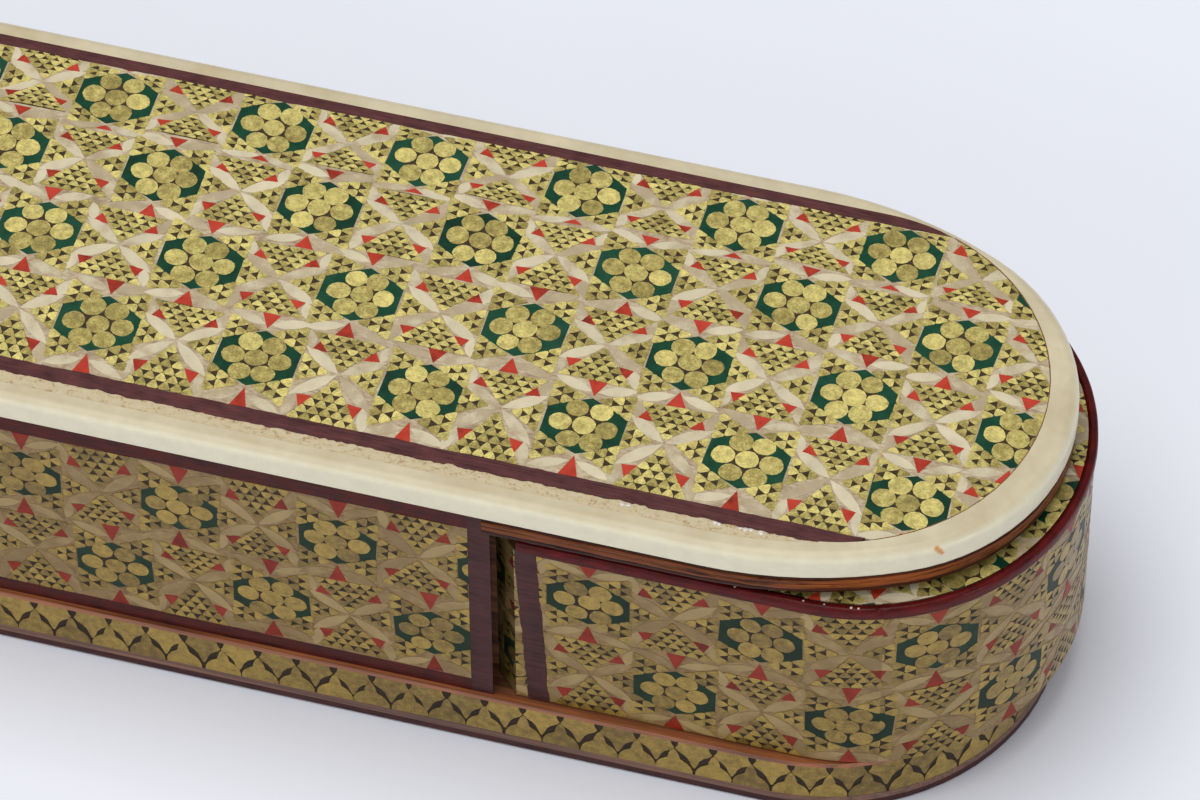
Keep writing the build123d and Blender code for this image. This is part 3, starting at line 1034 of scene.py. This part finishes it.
class PENBOX_OT_head_inlay(bpy.types.Operator):
    """Lay the inlay on the drawer's head: its sides, round end, mitres and top"""

    bl_idname = "penbox.head_inlay"
    bl_label = "Head inlay"

    def execute(self, context):
        look = context.scene.pen_box_inlay
        start_x, near, bottom = low("head_front_inlay")
        top = high("head_front_inlay")[2]
        chips_top = top - BEAD_SHADOW_STRIP
        half_y = -near
        sides = plan_hull("head_front_inlay", "head_end_inlay", "head_back_inlay")
        surface = Wall(open_path(sides, (start_x, -half_y), (start_x, half_y)))
        full = surface.full
        head_x = high("head_end_inlay")[0] - half_y
        joint = head_x - start_x + half_y * asin((low("head_end_inlay")[0] - head_x) / half_y)
        for node, ends, move in (
            ("head_front_inlay", (0.0, joint), 0.0),
            ("head_end_inlay", (joint, full - joint), 0.25),
            ("head_back_inlay", (full - joint, full), 0.9),
        ):
            rows = head_rows(bottom, chips_top, FLOWER_BY_SHOULDER - start_x + move)
            inlaid_wall(node, surface, rectangle(*ends, bottom, chips_top), rows, "drawer", look)
        for word, side in SIDES:
            lay_mitre(f"head_{word}_mitre_inlay", side, bottom, top, look)
        lay_bead_shadow_strip(surface, chips_top, top)
        lay_head_top("head_top_inlay", look)
        return {"FINISHED"}


def lay_mitre(node, side, bottom, top, look):
    """The slanting sheet between the head's side and the tray, in the mouth's gap."""
    inner = (low(node)[0], side * min(abs(low(node)[1]), abs(high(node)[1])))
    outer = (inner[0] + high_y(node) - abs(inner[1]), side * high_y(node))
    mitre = Wall([inner, outer] if side < 0 else [outer, inner], bent=False)
    region = rectangle(0, mitre.full, bottom, top)
    rows = head_rows(bottom, top, flower=-3.0, step=9.0)
    # The gap's finishes are darker copies of the sides': painted shade in the mouth's gap
    inlaid_wall(node, mitre, region, rows, "drawer", look, "gap")


def lay_bead_shadow_strip(surface, bottom, top):
    """The thin dark strip between the side inlay and the bead, painted shadow under the bead."""
    pieces = Pieces()
    pieces.chip(surface, rectangle(0.0, surface.full, bottom, top - 0.02), 0, 0.12)
    pieces.settle("head_bead_strip", [side_line_finish()], "drawer", "dark_line")


def lay_head_top(node, look):
    """Chips on the head's top, in four fields round the pocket."""
    outline = plan_hull(node)
    pocket_low = high("head_inner_wall")[0]
    pocket_high = low("head_round_end")[0]
    pocket_y = abs(high("head_front_cheek")[1])
    far = 200.0
    fields = [
        rectangle(-far, pocket_high, -far, -pocket_y),
        rectangle(-far, pocket_high, pocket_y, far),
        rectangle(-far, pocket_low, -pocket_y, pocket_y),
        rectangle(pocket_high, far, -far, far),
    ]
    rows = [Row(-16.5 + 11.0 * k, 5.5, 5.5, 110.4 + 9.1 * (k % 2), 18.2) for k in range(-1, 5)]
    pieces = Pieces()
    for field in fields:
        lay_inlay(pieces, Level(high(node)[2]), cut_to(outline, field), rows, look, node)
    *chips, sheet = chip_finishes(look, "lid")
    pieces.settle(f"{node}_chips", chips, "drawer", "inlay")
    dress_node(node, sheet)


# Half outlines of the band's teeth, from foot to tip, as shares of half the width and of the height
HANGING_TOOTH = (
    (0.8, 0.0), (0.84, 0.14), (0.98, 0.28), (0.82, 0.4),
    (0.5, 0.52), (0.3, 0.66), (0.18, 0.84), (0.05, 1.0),
)
STANDING_TOOTH = (
    (0.98, 0.0), (0.97, 0.14), (0.88, 0.28), (0.7, 0.42),
    (0.34, 0.56), (0.27, 0.74), (0.17, 0.9), (0.04, 1.0),
)
TOOTH_PITCH = 4.4             # from one tooth of a row to the next
TOOTH_GAP = 0.02              # between a tooth's foot and the wooden strip


class PENBOX_OT_base_band(bpy.types.Operator):
    """Lay the two rows of brass pieces round the base, between its wooden strips"""

    bl_idname = "penbox.base_band"
    bl_label = "Base band"

    def execute(self, context):
        node = "base_gold_band"
        outline = plan_hull(node)
        surface = Wall(outline + outline[:1])
        bottom, top = low(node)[2], high(node)[2]
        pieces = Pieces()
        ground = rectangle(0.0, surface.full, bottom, top)
        pieces.chip(surface, ground, KIND_SLOTS["joint"], -0.06, -0.95)
        count = round(surface.full / TOOTH_PITCH)
        pitch = surface.full / count
        chance = Random(node)
        for number in range(count):
            for way, shift, side in ((1, 0.5, HANGING_TOOTH), (-1, 0.0, STANDING_TOOTH)):
                middle = (number + shift) * pitch + chance.uniform(-0.1, 0.1)
                edge = top - TOOTH_GAP if way > 0 else bottom + TOOTH_GAP
                tall = chance.uniform(4.05, 4.3)
                half = pitch / 2 * chance.uniform(0.95, 1.0)
                lean = chance.uniform(-0.12, 0.12)
                shape = [(middle + half * x + lean * y, edge - way * y * tall) for x, y in side]
                shape += [(middle - half * x + lean * y, edge - way * y * tall) for x, y in reversed(side)]
                tone = chance.random()
                pieces.chip(surface, anticlockwise(shape), KIND_SLOTS["brass"], -0.005, tone=tone)
        chips = chip_finishes(context.scene.pen_box_inlay, "side")[:-1]
        pieces.settle(f"{node}_chips", chips, "sleeve", "inlay", node)
        return {"FINISHED"}


# Edgings

LEVEL_LINES = [f"{part}_{end}_line" for part in ("closed_end", "front", "back") for end in ("top", "bottom")]
# Painted shade: these lines take a darker copy of the lid line
SHADED_LINES = ("front_mouth_line", "back_mouth_line", "base_bottom_line")
SHADED = 0.62                 # how much darker the shaded lines are
LID_LINE_STEPS = 420          # how finely the lid's lines are cut along their length
HEAD_LINE_STEPS = 60          # the same for the strips beside the head's shoulder
HEAD_LINE_LEAN = 1.35         # how far those strips lean at their foot


class PENBOX_OT_dark_lines(bpy.types.Operator):
    """Finish the dark strips beside the inlay, with the uneven edges that hand work leaves"""

    bl_idname = "penbox.dark_lines"
    bl_label = "Dark lines"

    def execute(self, context):
        look = context.scene.pen_box_edging
        lid = finish_named("lid_line", dark_line_finish, look.lid_line, look.lid_line_deep)
        # Painted shade: the mouth lines, the base's bottom line and the strips by the head's shoulder take a
        # darker copy of the lid line
        shaded = [times(tint, SHADED) for tint in (look.lid_line, look.lid_line_deep)]
        deep = finish_named("deep_line", dark_line_finish, *shaded)
        for node in LEVEL_LINES:
            dress_node(node, side_line_finish())
        for node in SHADED_LINES:
            dress_node(node, deep)
        wander = look.line_wander / MM
        for word, side in SIDES:
            lay_lid_line(f"lid_{word}_line", wander, lid)
        for word, side in SIDES:
            lay_head_line(f"head_{word}_line", side, wander, deep)
        return {"FINISHED"}


def lay_lid_line(node, wander, material):
    """A dark strip on the lid. Its ends are cut by the curve of the bone."""
    outline = plan_hull(node)
    left, bottom, under = low(node)
    right, top, height = high(node)
    way = 1 if bottom < 0 else -1                      # from the bone towards the inlay
    inner, outer = (top, bottom) if way > 0 else (bottom, top)
    field = hull([(x, y + way) if abs(y - inner) < 0.02 else (x, y) for x, y in outline])
    drift = Vector((Random(node).uniform(0, 90), 0.0, 0.0))
    edge = []
    for s in steps(left, right, LID_LINE_STEPS):
        stray = 0.8 * wave(s / 5.0, drift=drift) + 0.56 * wave(s, 3.0, drift=drift) + 0.3
        edge.append((s, inner + way * wander * stray))
    ragged = high("lid_front_filler")[0] if way > 0 else 0.0

    def outer_edge(s):
        """The edge beside the filler is eaten away here and there."""
        room = min(1.0, max(0.0, (ragged - abs(s)) / 4.0))
        eaten = 0.14 + 0.3 * wave(s / 1.9, 9.0, drift=drift)
        return outer + way * room * max(0.0, eaten + 0.16 * wave(s / 0.5, 4.0, drift=drift))
    pieces = Pieces()
    for (s, a), (u, b) in zip(edge, edge[1:]):
        kept = cut_to(anticlockwise([(s, outer_edge(s)), (u, outer_edge(u)), (u, b), (s, a)]), field)
        if len(kept) >= 3 and turned_area(kept) > 1e-4:
            pieces.chip(Level(height), kept, 0, 0.0, under - height)
    pieces.settle(f"{node}_strip", [material], "sleeve", "dark_line", node)


# Section of the strip beside the head's shoulder: its left edge (0) or right edge (1), how far to the
# right of that edge, and how far proud of the sheet
LEANING_SECTION = (
    (0, 0.0, SUNK), (0, 0.0, 0.05), (0, 0.15, 0.09), (1, -0.15, 0.09), (1, 0.0, 0.05), (1, 0.0, SUNK),
)


def lay_head_line(node, side, wander, material):
    """The strip beside the head's shoulder leans a little, and chips show beside it on its solid."""
    face = high_y(node)
    left, right = low(node)[0], high(node)[0]
    bottom, top = low(node)[2], high(node)[2]
    drift = Vector((Random(node).uniform(0, 90), 0.0, 0.0))
    rings = []
    for number, z in enumerate(steps(bottom, top, HEAD_LINE_STEPS)):
        lean = HEAD_LINE_LEAN * (1 - number / HEAD_LINE_STEPS)
        edges = []
        for k, x in enumerate((left, right)):
            stray = wave(z / 4.0, 7.0 * k, drift=drift) + 0.6 * wave(z, 7.0 * k, 2.0, drift)
            edges.append(x + lean + wander * 1.4 * stray)
        edges[0] = max(edges[0], left + 0.05)
        ring = [(edges[end] + inside, side * (face + proud), z) for end, inside, proud in LEANING_SECTION]
        rings.append(ring if side < 0 else ring[::-1])
    pieces = Pieces()
    pieces.sweep(rings)
    pieces.settle(f"{node}_strip", [material], "drawer", "dark_line")
    flower = along_side(FLOWER_BY_SHOULDER, left, right, side)
    surface = Wall(side_path(left, right, side * face), bent=False)
    region = rectangle(0, right - left, bottom, top)
    look = bpy.context.scene.pen_box_inlay
    inlaid_wall(node, surface, region, head_rows(bottom, top, flower), "drawer", look)


class PENBOX_OT_bone_edging(bpy.types.Operator):
    """Finish the bone round the lid and lay the rough speckled strip inside it"""

    bl_idname = "penbox.bone_edging"
    bl_label = "Bone edging and filler"

    def execute(self, context):
        look = context.scene.pen_box_edging
        dress_node("bone_edging", bone_edging_finish(look))
        lay_filler("lid_front_filler", filler_finish(look))
        return {"FINISHED"}


def front_edge(outline):
    """A function that gives the front edge of an outline in plan, at each place along the box."""
    start = outline.index(min(outline))
    turned = outline[start:] + outline[:start]
    chain = turned[:turned.index(max(outline)) + 1]
    marks = [p[0] for p in chain]

    def at(x):
        number = min(max(bisect_right(marks, x) - 1, 0), len(chain) - 2)
        here, there = chain[number], chain[number + 1]
        return here[1] + (there[1] - here[1]) * (x - here[0]) / (there[0] - here[0])
    return at


FILLER_STEPS = 560            # how finely the filler is cut along its length
FILLER_ACROSS = 7             # and across it


def lay_filler(node, material):
    """The filler is a strip with a lumpy top beside the bone. It reaches a little under the dark line."""
    outer_edge = front_edge(plan_hull(node))
    inner_edge = front_edge(plan_hull("lid_front_line", *LID_SHEETS))
    left, _, bottom = low(node)
    right, _, top = high(node)
    rings = []
    for s in steps(left + 0.02, right - 0.02, FILLER_STEPS):
        outer = outer_edge(s)
        wide = max(0.03, inner_edge(s) - outer + min(0.4, (right - abs(s)) / 10.0))
        ring = [(s, outer, bottom)]
        for y in steps(outer, outer + wide, FILLER_ACROSS):
            lump = wave(s * 1.9, y * 2.6, 5.0) + 0.6 * wave(s * 4.4, y * 5.0, 1.0)
            ring.append((s, y, top - 0.09 + 0.075 * max(-1.0, min(1.0, lump))))
        ring.append((s, outer + wide, bottom))
        rings.append(ring[::-1])
    pieces = Pieces()
    pieces.sweep(rings)
    pieces.settle(f"{node}_paste", [material], "sleeve", "filler", node, smooth_under=60.0)


# Layers in the edge of the lid's board: from and to, as shares of its height, how far proud, and finish
# The topmost layer, dark under the bone, is painted shadow
BOARD_LAYERS = ((0.0, 0.26, 0.12, 1), (0.27, 0.56, 0.17, 0), (0.6, 0.86, 0.2, 0), (0.86, 1.0, 0.1, 1))
LAYER_STEP = 0.4              # the layers are cut at about this distance


class PENBOX_OT_board_edge(bpy.types.Operator):
    """Lay the split layers that show in the edge of the lid's board, past the sleeve's mouth"""

    bl_idname = "penbox.board_edge"
    bl_label = "Lid board edge"

    def execute(self, context):
        look = context.scene.pen_box_wood
        node = "lid_board"
        mouth = high("front_wall")[0]
        half = high(node)[1]
        rim = [p for p in plan_hull(node) if p[0] > mouth - 0.01]
        path = [(mouth, -half)] + open_path(rim, (mouth, -half), (mouth, half)) + [(mouth, half)]
        path = [p for i, p in enumerate(path) if i == 0 or (Vector(p) - Vector(path[i - 1])).length > 0.01]
        surface = Wall(path)
        bottom = low(node)[2]
        tall = low("bone_edging")[2] - bottom
        light = layered_edge_finish("light_layers", look.edge_light, look.edge_dark)
        # This dark finish serves the lowest layer and the painted shadow of the topmost one
        dark = layered_edge_finish("dark_layers", look.edge_dark, times(look.edge_dark, 0.4))
        pieces = Pieces()
        for number, (share_low, share_high, proud, slot) in enumerate(BOARD_LAYERS):
            def lower(s):
                rough = 0.14 * wave(s / 6.0, number * 5.0, 1.0) if share_low else 0.02
                return bottom + tall * share_low + rough

            def upper(s):
                rough = 0.14 * wave(s / 6.0, number * 5.0, 8.0) if share_high < 1 else -0.02
                return bottom + tall * share_high + rough
            pieces.sweep(layer_rings(surface, lower, upper, proud, number), slot)
        pieces.settle("lid_board_layers", [light, dark], "sleeve", "bare_wood", smooth_under=40.0)
        return {"FINISHED"}


def layer_rings(surface, lower, upper, proud, seed):
    """Rings of one rough layer, which stands out by a different amount from place to place."""
    start, end = 0.05, surface.full - 0.05
    thinnest = 0.1
    rings = []
    for s in steps(start, end, round((end - start) / LAYER_STEP)):
        rough = wave(s / 2.6, seed * 11.0) + 0.6 * wave(s / 0.7, seed * 7.0, 3.0)
        out = max(0.03, min(0.22, proud + 0.07 * rough))
        a, b = lower(s), upper(s)
        if b - a < thinnest:
            b = a + thinnest
        section = ((a, SUNK), (a, out - 0.04), (a + 0.06, out), (b - 0.06, out), (b, out - 0.04), (b, SUNK))
        rings.append([surface.put(s, z, reach) for z, reach in section])
    return rings


BEAD_STEPS = 420              # how finely the bead is cut along its length
NICK_TURN = 0.325             # the nick's place round the head's end, in radians from the front
# Section of the bead: share of its width inward from its outer face, and share of its height
BEAD_SECTION = (
    (0.0, 0.0), (0.0, 0.45), (0.02, 0.68), (0.09, 0.86), (0.2, 0.96), (0.36, 1.0),
    (0.62, 1.0), (0.8, 0.95), (0.94, 0.82), (1.0, 0.6), (1.0, 0.0),
)


class PENBOX_OT_bead(bpy.types.Operator):
    """Run the glossy bead round the head, a little uneven and with one nick"""

    bl_idname = "penbox.bead"
    bl_label = "Head bead"

    def execute(self, context):
        look = context.scene.pen_box_edging
        pieces = Pieces()
        pieces.sweep(bead_rings("head_bead"))
        pieces.settle("head_bead_run", [bead_finish(look)], "drawer", "bead", "head_bead", smooth_under=50.0)
        return {"FINISHED"}


def bead_rings(node):
    """Sections of the bead, from the head's front shoulder round to the back one."""
    left, near, bottom = low(node)
    right, _, top = high(node)
    half = -near
    centre = right - half
    width = half - high_y("head_top_inlay")
    straight = centre - left
    full = 2 * straight + pi * half
    nick = straight + half * NICK_TURN
    rings = []
    for s in steps(0.0, full, BEAD_STEPS):
        if s < straight:
            spot, face = Vector((left + s, -half)), Vector((0.0, -1.0))
        elif s > straight + pi * half:
            spot, face = Vector((centre - (s - straight - pi * half), half)), Vector((0.0, 1.0))
        else:
            turn = (s - straight) / half - pi / 2
            face = Vector((cos(turn), sin(turn)))
            spot = Vector((centre, 0.0)) + face * half
        rough = wave(s / 3.0, 0.0, 6.0)
        tall = top - bottom - (0.05 + 0.05 * wave(s / 4.0, 5.0))
        cut = max(0.0, 1 - abs(s - nick) / 0.5) * 0.3
        ring = []
        for inward, up in BEAD_SECTION:
            lump = 0.03 + 0.03 * rough if inward < 0.5 else 0.0
            inset = inward * width + lump + cut * (inward < 0.4) * (up > 0.5)
            place = spot - face * inset
            ring.append((place.x, place.y, bottom + up * tall - cut * 0.6 * (up > 0.9)))
        rings.append(ring)
    return rings


# Drops of glue, whose pale colour is painted glint: place in plan and radius
LID_DROPS = (
    (73.4, -22.85, 0.3), (74.0, -22.75, 0.35), (83.6, -22.6, 0.4), (84.1, -22.8, 0.25),
    (86.4, -22.7, 0.3), (87.0, -22.75, 0.35), (87.6, -22.65, 0.25), (88.8, -22.7, 0.4),
)
BEAD_DROPS = (
    (86.6, -25.45, 0.2), (94.2, -25.4, 0.17), (96.5, -25.3, 0.16),
    (99.4, -24.95, 0.18), (100.2, -24.85, 0.15),
)


class PENBOX_OT_glue_and_glint_drops(bpy.types.Operator):
    """Add the small drops of hard glue along the front line of the lid and on the bead, pale as painted
    glints
    """

    bl_idname = "penbox.glue_drops"
    bl_label = "Glue drops"

    def execute(self, context):
        clear = glue_and_glint_finish()
        for name, drops, node, sunk, tall, body in (
            ("lid_glue_drops", LID_DROPS, "lid_front_line", 0.11, 0.1, "sleeve"),
            ("bead_glue_drops", BEAD_DROPS, "head_bead", 0.14, 0.13, "drawer"),
        ):
            pieces = Pieces()
            for x, y, radius in drops:
                lay_drop(pieces, x, y, high(node)[2] - sunk, radius, tall)
            pieces.settle(name, [clear], body, "filler", smooth_under=60.0)
        return {"FINISHED"}


def lay_drop(pieces, x, y, under, radius, tall):
    """A round drop with a domed top."""
    rings = []
    for share in (0.0, 0.02, 0.25, 0.5, 0.75, 0.93):
        reach = radius * (1 - share ** 2) ** 0.5 * (1.0 if share else 0.9)
        ring = [(reach * cos(k * pi / 8), reach * sin(k * pi / 8)) for k in range(16)]
        rings.append([(x + a, y + b, under + tall * share) for a, b in ring])
    pieces.sweep(rings)


WOOD_NODES = (
    "lid_board", "closed_end_block", "base_board",
    "tray_floor", "tray_front_side", "tray_back_side", "tray_end_board",
    "head_floor", "head_inner_wall", "head_front_cheek", "head_back_cheek", "head_round_end",
)


class PENBOX_OT_bare_wood(bpy.types.Operator):
    """Finish the bare wood: boards, walls, tray, head and the strips round the base"""

    bl_idname = "penbox.bare_wood"
    bl_label = "Bare wood"

    def execute(self, context):
        look = context.scene.pen_box_wood
        for nodes, finish in (
            (WOOD_NODES, ("bare_wood", look.light, look.dark)),
            # Painted shade: the sleeve's walls, nearly black for the shade in the mouth's gap
            (("front_wall", "back_wall"), ("stained_wood", look.wall_shade_light, look.wall_shade_dark)),
            (("base_top_strip",), ("ledge_wood", look.ledge_light, look.ledge_dark, 30.0, 0.5, 0.3, 0.4)),
            (("base_lower_strip",), ("rose_wood", look.rose_light, look.rose_dark, 30.0, 0.4, 0.25, 0.42)),
        ):
            material = wood_finish(*finish)
            for node in nodes:
                dress_node(node, material)
        return {"FINISHED"}


# Stage, with its sizes in metres

FLOOR_REACH = 3.0


def floor_finish(tint):
    f = Finish("pale_floor", 0.75)
    return f.finish(f.shades(f.cloud(60.0), (0.3, times(tint, 0.985)), (0.7, tint)))


class PENBOX_OT_stage(bpy.types.Operator):
    """Set the camera, the pale floor and the soft light"""

    bl_idname = "penbox.stage"
    bl_label = "Camera, floor and light"

    def execute(self, context):
        look = context.scene.pen_box_stage
        context.scene.view_settings.view_transform = "Standard"
        lens = bpy.data.cameras.new("camera")
        lens.sensor_width = 36.0
        lens.lens = look.lens
        lens.clip_start = 0.01
        lens.clip_end = 20.0
        camera = bpy.data.objects.new("camera", lens)
        turn = Matrix.Rotation(look.azimuth, 4, "Z") @ Matrix.Rotation(pi / 2 - look.elevation, 4, "X")
        camera.matrix_world = Matrix.Translation(look.place) @ turn @ Matrix.Rotation(look.roll, 4, "Z")
        context.scene.collection.objects.link(camera)
        context.scene.camera = camera
        lay_floor(look)
        hang_lamp("overhead", 1.2, 1.1, look.lamp, (-0.22, 0.0, 1.5), (0.0, 0.0, 0.0))
        hang_lamp("front", 1.2, 0.7, look.front_lamp, (-0.45, -1.35, 0.75), (0.0, 0.0, 0.0))
        hang_lamp("side", 0.2, 0.2, look.side_lamp, (1.2, -0.62, 0.22), (0.08, 0.0, 0.04))
        light_world(context, look)
        return {"FINISHED"}


def lay_floor(look):
    reach = FLOOR_REACH
    mesh = bpy.data.meshes.new("floor")
    mesh.from_pydata([(x, y, 0) for x, y in rectangle(-reach, reach, -reach, reach)], [], [(0, 1, 2, 3)])
    mesh.materials.append(floor_finish(look.floor))
    ground = bpy.data.objects.new("floor", mesh)
    bpy.context.scene.collection.objects.link(ground)


def hang_lamp(name, width, depth, watts, place, aim):
    """A soft lamp that shines from its place towards the aim, both in metres."""
    soft = bpy.data.lights.new(name, "AREA")
    soft.shape = "RECTANGLE"
    soft.size = width
    soft.size_y = depth
    soft.energy = watts
    lamp = bpy.data.objects.new(name, soft)
    away = Vector(place) - Vector(aim)
    lamp.matrix_world = Matrix.Translation(place) @ away.to_track_quat("Z", "Y").to_matrix().to_4x4()
    bpy.context.scene.collection.objects.link(lamp)


def light_world(context, look):
    """Even, faintly blue light from all round."""
    world = bpy.data.worlds.new("even_light")
    context.scene.world = world
    world.use_nodes = True
    sky = world.node_tree.nodes["Background"]
    sky.inputs["Color"].default_value = (0.97, 0.98, 1.0, 1.0)
    sky.inputs["Strength"].default_value = look.sky


OPERATORS = (
    PENBOX_OT_stage,
    PENBOX_OT_lid_inlay,
    PENBOX_OT_sleeve_inlay,
    PENBOX_OT_head_inlay,
    PENBOX_OT_base_band,
    PENBOX_OT_bare_wood,
    PENBOX_OT_dark_lines,
    PENBOX_OT_bone_edging,
    PENBOX_OT_board_edge,
    PENBOX_OT_bead,
    PENBOX_OT_glue_and_glint_drops,
)

SETTINGS = (
    ("pen_box_inlay", InlaySettings),
    ("pen_box_edging", EdgingSettings),
    ("pen_box_wood", WoodSettings),
    ("pen_box_stage", StageSettings),
)


class PENBOX_PT_sidebar(bpy.types.Panel):
    """Lists the steps that dress the pen box"""

    bl_idname = "PENBOX_PT_sidebar"
    bl_label = "Pen box"
    bl_space_type = "VIEW_3D"
    bl_region_type = "UI"
    bl_category = "Pen box"

    def draw(self, context):
        for step in OPERATORS:
            self.layout.operator(step.bl_idname)
        for name, group in SETTINGS:
            box = self.layout.box()
            settings = getattr(context.scene, name)
            for prop in group.__annotations__:
                box.prop(settings, prop)


def register():
    for name, group in SETTINGS:
        bpy.utils.register_class(group)
        setattr(bpy.types.Scene, name, bpy.props.PointerProperty(type=group))
    for cls in (*OPERATORS, PENBOX_PT_sidebar):
        bpy.utils.register_class(cls)


def unregister():
    for cls in (PENBOX_PT_sidebar, *reversed(OPERATORS)):
        bpy.utils.unregister_class(cls)
    for name, group in reversed(SETTINGS):
        delattr(bpy.types.Scene, name)
        bpy.utils.unregister_class(group)


def main():
    register()
    for step in OPERATORS:
        group, name = step.bl_idname.split(".")
        getattr(getattr(bpy.ops, group), name)()


if __name__ == "__main__":
    main()
